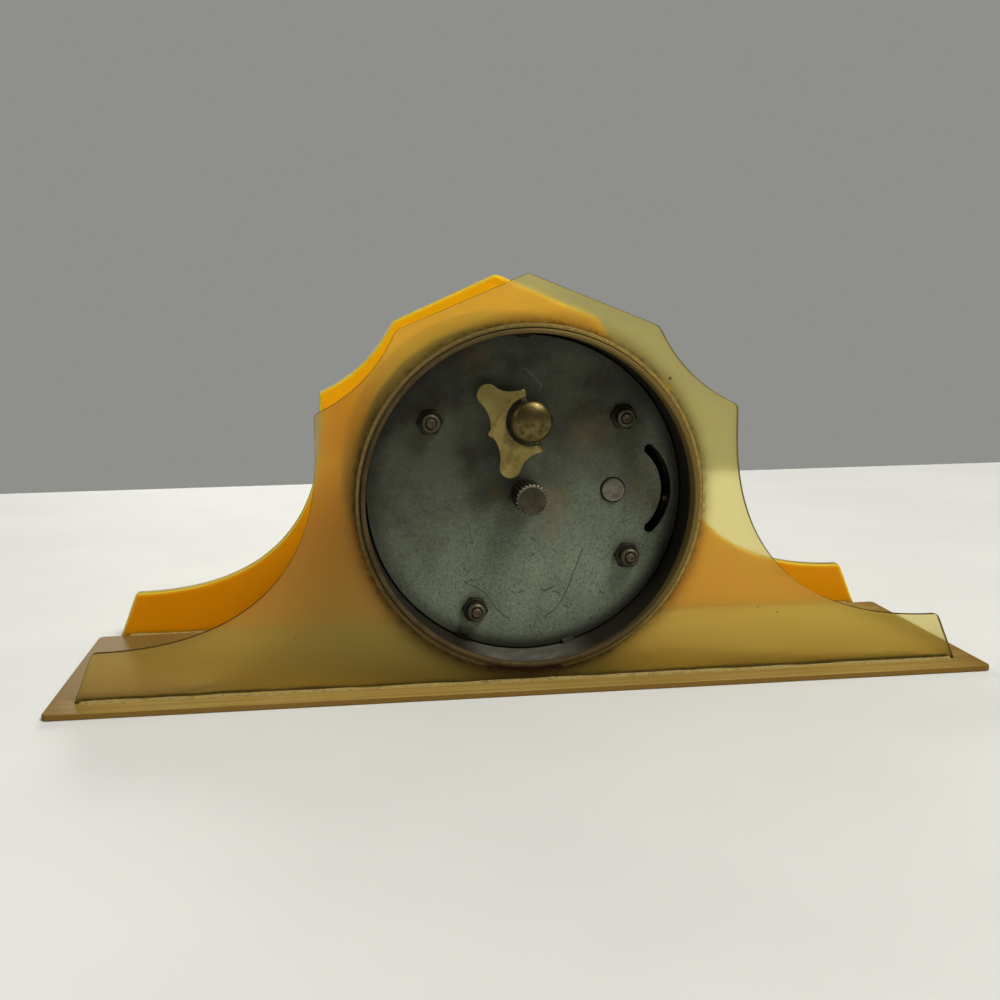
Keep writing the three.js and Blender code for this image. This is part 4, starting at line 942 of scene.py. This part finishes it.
def finishPiece(piece, finish, body, replaced=(), angle=32):
    makeActive(piece)
    mergePoints()
    bpy.ops.object.shade_smooth_by_angle(angle=math.radians(angle))
    piece.data.materials.clear()
    piece.data.materials.append(finishes[finish])
    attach(piece, body)
    if replaced:
        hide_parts(*replaced)
    return piece


def dressFaces(piece, finish, wanted):  # a second finish on some of the faces
    piece.data.materials.append(finishes[finish])
    pick(piece, "polygons", wanted)
    piece.active_material_index = len(piece.data.materials) - 1
    bpy.ops.object.material_slot_assign()
    leaveEdit()


def setCopies(piece, name, places):  # the piece takes the first place, copies the others
    pieces = [piece]
    for place in places[1:]:
        makeActive(piece)
        bpy.ops.object.duplicate(linked=False)
        pieces.append(bpy.context.object)
    for index, (made, ((x, z), turn)) in enumerate(zip(pieces, places), 1):
        makeActive(made)
        made.location = metres(x, 0, z)
        made.rotation_euler = (0, turn, 0)
        named(f"{name}_{index}")
    return pieces


# floor
floorValues = {
    "width": 3000, "far": -270, "near": 1000, "drop": 0.05,
    "pale": (0.77, 0.775, 0.77, 1), "soft": (0.74, 0.745, 0.74, 1), "rough": (0.75, 0.1),
}


def paleFloor(values):
    material, place = newFinish("pale_floor", values)
    colour = layers(values, "pale", (place.grain(60, 3).rise(0.35, 0.65), "soft"))
    rough = roughness(values, place.grain(20, 3))
    return feed(material, colour=colour, rough=rough, normal=place.grain(0.8, 3).bump(0.05, 0.1))


def layFloor(values):
    clearPick()
    far, near = values["far"], values["near"]
    bpy.ops.mesh.primitive_plane_add(size=1, location=metres(0, (far + near) / 2, -values["drop"]))
    bpy.context.object.scale = (values["width"] * mm, (near - far) * mm, 1)
    floor = named("pale_floor")
    floor.data.materials.append(paleFloor(values))


layFloor(floorValues)


# base sheet
baseValues = {"width": 175, "depth": 53.4, "thickness": 1.1, "corner": 1.2, "edge": 0.22}


def makeBase(values):
    width, depth, thickness = several(values, "width depth thickness")
    piece = boxPiece("base_sheet", (0, 0, thickness / 2), (width, depth, thickness))
    bevelEdges(piece, values["corner"], 6, lambda a, b: abs(a.z - b.z) > thickness / 2)
    roundEdges(piece, values["edge"], segments=3, angle=50)
    return finishPiece(piece, "olive_sheet", "case", ["base_plate"], flatAngle)


makeBase(baseValues)
print("base sheet done")


# the two stepped panels
panelValues = {
    "footHalf": 83, "endHalf": 79.4, "endHeight": 10.1, "baseTop": 1.1,
    "waistHalf": 38.8, "waistRise": 10.9, "shoulderRise": 16.5, "cornerRise": 31.1, "peakRise": 40.8,
    "scallop": 2, "sweepDrop": 24, "sweepRun": 26, "rounding": 0.9, "hole": 31.1,
}

sheetValues = {
    "rear": {
        "bottom": 1.15, "stretch": 1, "cornerHalf": 23.9, "start": 19.7, "end": 20.8,
        "edge": 0.14, "sideNormal": 0.6,
    },
    "front": {
        "bottom": 0, "stretch": 1.02, "cornerHalf": 22.6, "start": -29.75, "end": -26.75, "bevel": 0.85,
    },
}


def softCorner(before, corner, after, reach, count=5):
    corner = Vector(corner)
    start = corner + (Vector(before) - corner).normalized() * reach
    end = corner + (Vector(after) - corner).normalized() * reach
    return curve([start, corner, end], count)


def halfOutline(shape, sheet):
    footHalf, endHalf, waistHalf = several(shape, "footHalf endHalf waistHalf")
    endHeight, baseTop, rounding = several(shape, "endHeight baseTop rounding")

    def at(x, z):
        return (x, z * sheet["stretch"])

    def above(x, rise):
        return at(x, drumHeight + rise)

    slope = (footHalf - endHalf) / (endHeight - baseTop)
    foot = (footHalf + slope * (baseTop - sheet["bottom"]), sheet["bottom"])
    end = at(endHalf, endHeight)
    run = at(endHalf - shape["sweepRun"], endHeight)
    waist = above(waistHalf, shape["waistRise"])
    drop = above(waistHalf, shape["waistRise"] - shape["sweepDrop"])
    shoulder = above(waistHalf, shape["shoulderRise"])
    corner = above(sheet["cornerHalf"], shape["cornerRise"])
    peak = above(0, shape["peakRise"])
    sweep = curve([(end[0] - rounding, end[1]), run, drop, waist], 36)
    chord = Vector(corner) - Vector(shoulder)
    inward = Vector((-chord.y, chord.x)).normalized() * 2 * shape["scallop"]
    pull = (Vector(shoulder) + Vector(corner)) / 2 + inward

    def clear(point):  # outside the two rounded corners
        return all((Vector(point) - Vector(near)).length > rounding for near in (shoulder, corner))

    return [
        foot,
        *softCorner(foot, end, run, rounding),
        *sweep[1:],
        *softCorner(waist, shoulder, pull, rounding),
        *filter(clear, curve([shoulder, pull, corner], 20)),
        *softCorner(pull, corner, peak, rounding),
        *softCorner(corner, peak, (-corner[0], corner[1]), rounding)[:3],
    ]


def makePanel(name, shape, sheet, past=2):
    right = halfOutline(shape, sheet)
    left = [(-x, z) for x, z in reversed(right)]
    piece = platePiece(name, right + left, sheet["start"], sheet["end"])
    cutWith(piece, rodPiece("drum_hole", shape["hole"], sheet["start"] - past, sheet["end"] + past, 144))
    return piece


def onOutline(a, b, level=0.01, clearance=0.5, foot=0.1):  # an edge round the panel, not of its hole or foot
    middle = (a + b) / 2
    outside = math.hypot(middle.x, middle.z - drumHeight) > panelValues["hole"] + clearance
    return abs(a.y - b.y) < level and outside and middle.z > foot


def makeRearPanel(sheet):
    piece = makePanel("rear_panel_sheet", panelValues, sheet)
    roundEdges(piece, sheet["edge"])
    finishPiece(piece, "pale_sheet", "case", ["rear_panel"], flatAngle)
    dressFaces(piece, "sawn_edge", lambda face: abs(face.normal.y) < sheet["sideNormal"])


def makeFrontPanel(sheet):
    piece = makePanel("front_panel_sheet", panelValues, sheet)
    bevelEdges(piece, sheet["bevel"], 3, onOutline)
    finishPiece(piece, "amber_sheet", "case", ["front_panel"], flatAngle)


makeRearPanel(sheetValues["rear"])
makeFrontPanel(sheetValues["front"])
print("panels done")


# dried glue along the feet of the panels: the section is in shares of wide and tall
beadShape = {
    "section": [(0, 1), (0.25, 0.5), (0.6, 0.18)], "sunk": 0.1,
    "steps": 150, "stepsPerSwell": 4, "swell": (0.55, 1.2), "ease": 0.35,
}

beadValues = {
    "rear": {"half": 82, "y": 20.8, "side": 1, "wide": 1.2, "tall": 0.42, "seed": 3},
    "inner": {"half": 82, "y": 19.7, "side": -1, "wide": 1.2, "tall": 0.6, "seed": 5},
    "front": {"half": 81, "y": -26.7, "side": 1, "wide": 0.7, "tall": 0.3, "seed": 8},
}


def makeBead(name, values, shape=beadShape):
    draw = random.Random(values["seed"])
    half, y, side, wide, tall = several(values, "half y side wide tall")
    steps, sunk = several(shape, "steps sunk")
    x, z = -half, baseValues["thickness"]
    hump = [(along * wide, up * tall) for along, up in shape["section"]]
    section = [(0, -sunk), *hump, (wide, -sunk)]
    drawChain([metres(x, y + side * along, z + up) for along, up in section], True)
    bpy.ops.mesh.edge_face_add()
    length = 2 * half / steps
    size, aim = 1.0, 1.0
    for i in range(steps):
        if i % shape["stepsPerSwell"] == 0:
            aim = draw.uniform(*shape["swell"])
        grown = size + (aim - size) * shape["ease"]
        x += length
        extrude(metres(length, 0, 0))
        share = grown / size
        bpy.ops.transform.resize(value=(1, share, share), center_override=metres(x, y, z))
        size = grown
    return finishPiece(leaveNamed(name), "dried_glue", "case", angle=60)


for beadName, values in beadValues.items():
    makeBead("glue_" + beadName, values)
print("glue beads done")


# collar ring and drum
collarValues = {
    "inner": 31.1, "outer": 32.1, "start": 20.85, "end": 21.45, "outerBreak": (0.25, 0.2), "innerBreak": 0.15,
}


def makeCollar(values):
    inner, outer, start, end, slant = several(values, "inner outer start end innerBreak")
    across, along = values["outerBreak"]
    piece = turnPiece("collar_ring", [
        (inner, start), (outer, start), (outer, end - along), (outer - across, end),
        (inner + slant, end), (inner, end - slant),
    ], steps=144, closed=True)
    return finishPiece(piece, "collar_sheet", "case", ["rear_collar"])


drumShape = {
    "bore": 30.2, "outer": 30.8, "front": -30.65, "rear": 22.3,
    "rim": 31.1, "rimDepth": 0.8, "rimBreak": (0.12, 0.14), "roll": 0.3, "rollMiddle": 0.1,
    "tabs": (-115, -74.5, 90), "tabReach": 0.9, "tabRoot": 0.3, "tabWidth": 2.4, "tabThick": 0.8,
    "tabStart": 12.75, "tabEdge": 0.22,
}


def makeDrum(values):
    bore, outer, rim, front, rear = several(values, "bore outer rim front rear")
    roll, middle, reach, thick = several(values, "roll rollMiddle tabReach tabThick")
    across, along = values["rimBreak"]
    under = rear - values["rimDepth"]
    piece = turnPiece("drum_can", [
        (bore, front), (outer, front), (outer, under), (rim - across, under), (rim, under + along),
        (rim, rear - roll), (rim - middle, rear - middle), (rim - roll, rear),
        (bore + roll, rear), (bore + middle, rear - middle), (bore, rear - roll),
    ], steps=160, closed=True)
    length = reach + values["tabRoot"]
    spot = (bore - reach + length / 2, values["tabStart"] + thick / 2, 0)
    tab = boxPiece("tab", spot, (length, thick, values["tabWidth"]))
    roundEdges(tab, values["tabEdge"], segments=3, angle=30)
    joinInto(piece, setCopies(tab, "tab", aroundDrum(values["tabs"])))
    return finishPiece(piece, "drum_steel", "case", ["drum_shell"])


makeCollar(collarValues)
makeDrum(drumShape)
print("collar and drum done")


# movement cover with its regulator slot
coverShape = {
    "start": 11.7, "end": 12.7, "winding": (0.299, 14.2025), "windingHole": 2.1, "centreHole": 1.2,
    "balance": (16.8935, 0.2093), "balanceHole": 2.4, "slotCircle": 10.405, "slotWidth": 1.85, "slotHalf": 47,
    "edge": 0.12,
}


def slotOutline(values):
    spot, circle, end = several(values, "balance slotCircle slotHalf")
    half = values["slotWidth"] / 2
    upper = arc(spot, circle, end, end, 1)[0]
    lower = (upper[0], 2 * spot[1] - upper[1])
    points = arc(spot, circle + half, -end, end, 28)
    points += arc(upper, half, end, end + 180, 8)[1:]
    points += arc(spot, circle - half, end, -end, 28)[1:]
    points += arc(lower, half, 180 - end, 360 - end, 8)[1:-1]
    return [behind(right, up) for right, up in points]


def makeCover(values):
    start, end = several(values, "start end")
    piece = rodPiece("cover_disc", coverRadius, start, end, 160)
    cutWith(piece, platePiece("slot_cut", slotOutline(values), start - overrun, end + overrun))
    for spot, hole in [
        (values["winding"], "windingHole"), ((0, 0), "centreHole"), (values["balance"], "balanceHole"),
    ]:
        cutter = rodPiece("hole_cut", values[hole], start - overrun, end + overrun, spot=behind(*spot))
        cutWith(piece, cutter)
    roundEdges(piece, values["edge"])
    return finishPiece(piece, "cover_steel", "case", ["back_cover"], flatAngle)


makeCover(coverShape)


# pillars, their nuts and the balance screw's disc: tip and crown are (radius, mm under the end)
pillarShape = {
    "spots": [(-17.7905, 13.9932), (18.837, 14.1128), (19.4948, -12.4982), (-9.9866, -21.8868)],
    "pillar": 1.8, "stud": 0.9, "front": -20.25, "platesFrom": -18.5, "platesTo": 7.45, "end": 16.7,
    "tip": [(0.9, 0.25), (0.68, 0), (0.5, 0.03), (0.36, 0.3), (0, 0.35)],
}


def makePillars(values):
    stud, pillar, front, lower, upper = several(values, "stud pillar front platesFrom platesTo")
    rod = turnPiece("pillar_rod", [
        (0, front), (stud, front), (stud, lower), (pillar, lower), (pillar, upper), (stud, upper),
        *((radius, values["end"] - under) for radius, under in values["tip"]),
    ], (0, 0), 32)
    places = [(behind(*spot), 0) for spot in values["spots"]]
    for index, made in enumerate(setCopies(rod, "pillar_rod", places), 1):
        finishPiece(made, "nut_steel", "case", [f"pillar_{index}"])


nutShape = {
    "flats": 4.4, "foot": 1.1, "collar": 1.72, "start": 12.75, "end": 16.3, "bore": 0.96,
    "chamfer": 0.5, "crown": 0.84, "lip": 0.3, "sink": 0.2, "edge": 0.1, "seam": 2e-5,
    "turns": (0.52, 1.52, 2.52, 3.52),
}


def makeNuts(values, spots, skin=0.01, spare=0.1):
    start, end, collar, bore, lip = several(values, "start end collar bore lip")
    foot, across = start + values["foot"], values["flats"] / math.sqrt(3)
    sunk, wide = start + values["sink"], across + spare
    nut = rodPiece("nut", across, start, foot, 6, (0, 0))
    cutWith(nut, turnPiece("chamfer_cut", [
        (0, start - skin), (wide, start - skin), (wide, foot - values["chamfer"]),
        (across * values["crown"], foot + skin), (0, foot + skin),
    ], (0, 0), 64), "INTERSECT")
    cutWith(nut, turnPiece("collar", [
        (0, sunk), (collar, sunk), (collar, end - lip), (collar - lip, end), (0, end),
    ], (0, 0), 48), "UNION")
    cutWith(nut, turnPiece("bore_cut", [
        (0, start - overrun), (bore, start - overrun), (bore, end - lip), (bore + lip, end + spare),
        (0, end + spare),
    ], (0, 0), 48))
    mergePoints(values["seam"])
    roundEdges(nut, values["edge"], angle=25)
    places = [(behind(*spot), turn) for spot, turn in zip(spots, values["turns"])]
    for index, made in enumerate(setCopies(nut, "nut", places), 1):
        finishPiece(made, "nut_steel", "case", [f"pillar_nut_{index}"])


discShape = {
    "shank": 1.6, "shankFrom": 5.9, "headFrom": 8.75, "head": 2.25, "end": 13.3,
    "crown": [(2.25, 0.15), (2.13, 0.03), (1.95, 0), (1.1, 0.02), (0, 0.05)],
}


def makeDisc(values):
    shank, shankFrom, head, headFrom = several(values, "shank shankFrom head headFrom")
    piece = turnPiece("balance_cap", [
        (0, shankFrom), (shank, shankFrom), (shank, headFrom), (head, headFrom),
        *((radius, values["end"] - under) for radius, under in values["crown"]),
    ], behind(*coverShape["balance"]), 64)
    return finishPiece(piece, "plain_steel", "case", ["balance_screw_rear"])


makePillars(pillarShape)
makeNuts(nutShape, pillarShape["spots"])
makeDisc(discShape)
print("cover, nuts and balance cap done")


# folding key
keyShape = {
    "turn": 106.4, "bottom": 13.6, "stem": 2.7, "bore": 1.85, "boreTop": 17.3,
    "domeStart": 19.3, "domeEdge": 0.7, "dome": 3.9, "domeRise": 1.6, "soften": 0.2,
    "hinge": 18, "pin": 0.55, "pinHalf": 6.05, "pinEdge": 0.18, "hubPlay": 0.05, "wingPlay": 0.06,
    "thick": 1, "wingEdge": 0.2, "cut": 4.55, "earInner": 4.6, "earOuter": 6.0, "ear": 0.82, "earPlay": 0.3,
    "lobeSpread": 6.95, "lobeReach": 6.05, "lobe": 2, "nubReach": 8.1, "nubHalf": 0.6, "waistReach": 7,
}


def alongKey(side, reach):  # a place on the key, side along the hinge and reach away from it
    turn = math.radians(keyShape["turn"])
    right = side * math.cos(turn) - reach * math.sin(turn)
    up = side * math.sin(turn) + reach * math.cos(turn)
    winding = coverShape["winding"]
    return behind(winding[0] + right, winding[1] + up)


def hingeRod(name, radius, half):
    first, last = alongKey(-half, 0), alongKey(half, 0)
    aim = Vector((last[0] - first[0], 0, last[1] - first[1]))
    clearPick()
    bpy.ops.mesh.primitive_cylinder_add(
        vertices=32, radius=radius * mm, depth=aim.length * mm,
        location=metres((first[0] + last[0]) / 2, keyShape["hinge"], (first[1] + last[1]) / 2),
        rotation=aim.to_track_quat("Z", "Y").to_euler(),
    )
    return named(name)


def makeHub(values):
    dome, start, rise, soften = several(values, "dome domeStart domeRise soften")
    bore, top, stem, bottom = several(values, "bore boreTop stem bottom")
    edge = start + values["domeEdge"]
    slopes = [math.radians(angle) for angle in range(10, 90, 10)]
    piece = turnPiece("hub_dome", [
        (0, top), (bore, top), (bore, bottom), (stem - soften, bottom), (stem, bottom + soften),
        (stem, start - soften), (stem + soften, start), (dome - soften, start), (dome, start + soften),
        (dome, edge), *((dome * math.cos(a), edge + rise * math.sin(a)) for a in slopes), (0, edge + rise),
    ], behind(*coverShape["winding"]), 72)
    cutWith(piece, hingeRod("pin_cut", values["pin"] + values["hubPlay"], dome + overrun))
    return finishPiece(piece, "hub_brass", "winder", ["key_hub"])


def wingHalf(values):
    spread, lobeReach, nub, earOuter = several(values, "lobeSpread lobeReach nubHalf earOuter")
    nubMiddle = values["nubReach"] - nub
    top = arc((spread, lobeReach), values["lobe"], 120, -60, 20)
    edge = curve([(nub, nubMiddle), (spread / 2, values["waistReach"] - nub), top[0]], 14)
    inside = curve([top[-1], (earOuter, lobeReach / 2), (earOuter, 0)], 10)
    return [
        *arc((0, nubMiddle), nub, 90, 10, 4), *edge[1:], *top[1:], *inside[1:],
        (values["earInner"], 0), *arc((0, 0), values["cut"], 6, 90, 16),
    ]


def makeWing(values):
    hinge, thick, ear, pin = several(values, "hinge thick ear pin")
    half = wingHalf(values)
    outline = half + [(-side, reach) for side, reach in reversed(half)][1:-1]
    places = [alongKey(side, reach) for side, reach in outline]
    piece = platePiece("wing_plate", places, hinge - thick / 2, hinge + thick / 2)
    ears = hingeRod("ears", ear, values["earOuter"])
    cutWith(ears, hingeRod("ear_gap", ear + values["earPlay"], values["earInner"]))
    cutWith(piece, ears, "UNION")
    cutWith(piece, hingeRod("pin_cut", pin + values["wingPlay"], values["pinHalf"] * 2))
    roundEdges(piece, values["wingEdge"], segments=3)
    return finishPiece(piece, "key_brass", "wing", ["key_wing"])


def makePin(values):
    piece = hingeRod("hinge_pin", values["pin"], values["pinHalf"])
    roundEdges(piece, values["pinEdge"], segments=3)
    return finishPiece(piece, "nut_steel", "winder", ["key_pin"])


makeHub(keyShape)
makeWing(keyShape)
makePin(keyShape)


# knurled setting knob: a ring is mm along and its size against the ring before
knobShape = {
    "radius": 2.85, "knurls": 24, "depth": 0.3, "start": 13.4, "bore": 0.95, "boreEnd": 18.4,
    "rings": [
        (0.3, 1.04), (7.75, 1), (0.17, 0.97), (0.08, 0.95), (0.07, 0.85), (0.06, 0.74), (0.03, 0.6),
    ],
}


def makeKnob(values):
    radius, start = several(values, "radius start")
    clearPick()
    bpy.ops.mesh.primitive_circle_add(
        vertices=values["knurls"] * 4, radius=radius * mm,
        location=metres(0, start, drumHeight), rotation=(math.pi / 2, 0, 0),
    )
    piece = named("knob_knurled")
    pick(piece, "vertices", lambda vertex: vertex.index % 4 == 0)
    inward = 1 - values["depth"] / radius
    bpy.ops.transform.resize(value=(inward,) * 3, center_override=metres(0, start, drumHeight))
    bpy.ops.mesh.select_all(action="SELECT")
    bpy.ops.mesh.edge_face_add()
    along = start
    for step, share in values["rings"]:
        along += step
        extrude(metres(0, step, 0))
        bpy.ops.transform.resize(value=(share, 1, share), center_override=metres(0, along, drumHeight))
    leaveEdit()
    tidyMesh()
    cutWith(piece, rodPiece("bore_cut", values["bore"], start - overrun, values["boreEnd"], 32))
    return finishPiece(piece, "knob_steel", "hands", ["set_knob"], 20)


makeKnob(knobShape)
print("key and knob done")


# dial side: bezel, crystal, sight ring, dial, hands
bezelShape = {
    "bore": 31.1, "outer": 34.4, "opening": 28.9, "rear": -29.8, "lip": -31.95, "front": -32.95,
    "bead": 0.75, "step": (1.1, 1.5), "domeHandle": (0.6, 0.1), "domeEnd": 0.9, "lipBreak": (0.35, 0.3),
}


def makeBezel(values):
    bore, outer, opening, rear, front, lip = several(values, "bore outer opening rear front lip")
    bead, (stepIn, stepOut) = several(values, "bead step")
    (handleOut, handleUp), (across, along) = several(values, "domeHandle lipBreak")
    step = (outer - stepIn, rear - stepOut)
    dome = curve([step, (bore + handleOut, front - handleUp), (bore - values["domeEnd"], front)], 10)
    piece = turnPiece("bezel_ring", [
        (bore, rear), (outer, rear), *arc((outer - bead, rear - bead), bead, 0, -90, 6), step, *dome[1:],
        (opening + across, front), (opening, front + along), (opening, lip), (bore, lip),
    ], steps=160, closed=True)
    return finishPiece(piece, "bezel_brass", "case", ["front_bezel"])


crystalShape = {"edge": 30.8, "domeEdge": 28.6, "rear": -30.7, "front": -31.9, "rise": 2, "rings": 14}


def makeCrystal(values):
    edge, rear, front, rings = several(values, "edge rear front rings")
    shares = [i / rings for i in range(rings + 1)]
    dome = [(values["domeEdge"] * share, values["rise"] * (1 - share ** 2)) for share in shares]
    piece = turnPiece("crystal_dome", [
        *((radius, rear - rise) for radius, rise in dome), (edge, rear),
        (edge, front), *((radius, front - rise) for radius, rise in reversed(dome)),
    ], steps=120)
    return finishPiece(piece, "crystal_glass", "case", ["crystal"])


sightShape = {
    "outer": 29.9, "inner": 28.5, "lower": 27.9, "front": -30.65, "rear": -25.4, "flare": (0.15, 1.5),
}


def makeSightRing(values):
    inner, outer, lower, front, rear = several(values, "inner outer lower front rear")
    across, along = values["flare"]
    piece = turnPiece("sight_cone", [
        (inner, front), (outer, front), (outer, rear), (lower, rear), (lower + across, rear - along),
    ], steps=144, closed=True)
    return finishPiece(piece, "bezel_brass", "case", ["sight_ring"])


dialShape = {
    "face": -25.35, "back": -24.75, "hole": 2.34, "edge": 0.08,
    "footCircle": 17.94, "foot": 0.8, "footRoot": 0.3, "footEnd": -19.8, "feet": (95, 215, 335),
    "numeralCircle": 20.6, "numeralSize": 5.6, "ink": 0.02, "trackCircle": 25.6, "ring": (0.9, 1.15),
    "ticks": [("tick", 0.28, 1.5, 60), ("five_tick", 0.6, 2.1, 12)],
}


def makeDial(values):
    face, back = several(values, "face back")
    piece = rodPiece("dial_disc", coverRadius, face, back, 144)
    spot, start = (values["footCircle"], 0), back - values["footRoot"]
    foot = rodPiece("foot", values["foot"], start, values["footEnd"], 24, spot)
    for made in setCopies(foot, "foot", aroundDrum(values["feet"])):
        cutWith(piece, made, "UNION")
    cutWith(piece, rodPiece("pipe_hole", values["hole"], face - overrun, back + overrun, 48))
    roundEdges(piece, values["edge"])
    return finishPiece(piece, "dial_paint", "case", ["dial"], flatAngle)


def makeNumerals(values):
    circle, ink = several(values, "numeralCircle ink")
    pieces = []
    for hour in range(1, 13):
        angle = math.radians(30 * hour)
        across, up = circle * math.sin(angle), circle * math.cos(angle)
        clearPick()
        bpy.ops.object.text_add()
        text = bpy.context.object
        text.data.body = str(hour)
        text.data.size = values["numeralSize"] * mm
        text.data.align_x = "CENTER"
        text.data.align_y = "CENTER"
        text.data.extrude = ink * mm
        text.data.resolution_u = 5
        bpy.ops.object.convert(target="MESH")
        numeral = bpy.context.object
        numeral.location = metres(across, values["face"] - ink, drumHeight + up)
        numeral.rotation_euler = (math.pi / 2, 0, 0)
        pieces.append(named(f"numeral_{hour}"))
    joinInto(pieces[0], pieces[1:])
    pieces[0].name = "dial_numerals"
    tidyMesh()
    return finishPiece(pieces[0], "hand_paint", "case")


def makeTrack(values):
    face, ink, circle = several(values, "face ink trackCircle")
    rows = []
    for name, wide, tall, count in values["ticks"]:
        row = boxPiece(name, (0, face - ink / 2, drumHeight + circle), (wide, ink, tall))
        editAll()
        spinAll(count, (0, drumHeight), copies=True)
        leaveEdit()
        tidyMesh()
        rows.append(row)
    inner, outer = (circle + away for away in values["ring"])
    ring = turnPiece("track_ring", [
        (inner, face), (inner, face - ink), (outer, face - ink), (outer, face),
    ], steps=144, closed=True)
    joinInto(ring, rows)
    ring.name = "dial_track"
    return finishPiece(ring, "hand_paint", "case")


# widths are shares of the half width, heights of the shoulder's, but the tail's heights are mm
handShape = {
    "hour": {"reach": 14.95, "boss": 3, "bore": 2.09, "start": -26.55, "end": -26.15, "turn": 305},
    "minute": {"reach": 23.023, "boss": 2.2, "bore": 0.95, "start": -27.75, "end": -27.35, "turn": 60},
    "half": 1, "shoulder": 0.75, "tip": 0.12, "edge": 0.09,
    "tail": [(0.75, -5), (0.55, -2)],
    "stem": [(0.5, 0), (0.55, 0.5)],
    "spade": [(0.6, 0.62), (1.15, 0.85), (1, 1)],
}


def makeHand(name, values, body, replaced, shape=handShape):
    reach, boss, bore, start, end = several(values, "reach boss bore start end")
    half, shoulder = shape["half"], reach * shape["shoulder"]
    stem, spade = ([(half * x, shoulder * z) for x, z in shape[part]] for part in ("stem", "spade"))
    blade = [(half * x, z) for x, z in shape["tail"]] + stem + curve([*spade, (shape["tip"], reach)], 14)
    outline = blade + [(-side, up) for side, up in reversed(blade)]
    turn = math.radians(values["turn"])
    across, along = math.cos(turn), math.sin(turn)
    places = [(side * across + up * along, drumHeight - side * along + up * across) for side, up in outline]
    piece = platePiece(name, places, start, end)
    cutWith(piece, rodPiece("boss", boss, start, end, 48), "UNION")
    cutWith(piece, rodPiece("bore_cut", bore, start - overrun, end + overrun, 48))
    roundEdges(piece, shape["edge"])
    return finishPiece(piece, "hand_paint", body, [replaced])


makeBezel(bezelShape)
makeCrystal(crystalShape)
makeSightRing(sightShape)
makeDial(dialShape)
makeNumerals(dialShape)
makeTrack(dialShape)
makeHand("hour_blade", handShape["hour"], "hour", "hour_hand")
makeHand("minute_blade", handShape["minute"], "hands", "minute_hand")
print("dial side done")


# the works inside keep their solids and take the finish of their slot, but the plates and the regulator take
# darker finishes: painted shade for the dark inside the drum
shadedInside = {"rear_plate": "plate_brass", "front_plate": "plate_brass", "regulator": "knob_steel"}
slotOf = {part["node"]: part["material_slot"] for part in frame["record"]["subparts"]}
kept = [node for node in frame["nodes"].values() if not node.hide_render]
for node in kept:
    node.data.materials.clear()
    node.data.materials.append(finishes[shadedInside.get(node.name, slotOf[node.name])])
print("inside nodes dressed:", len(kept))
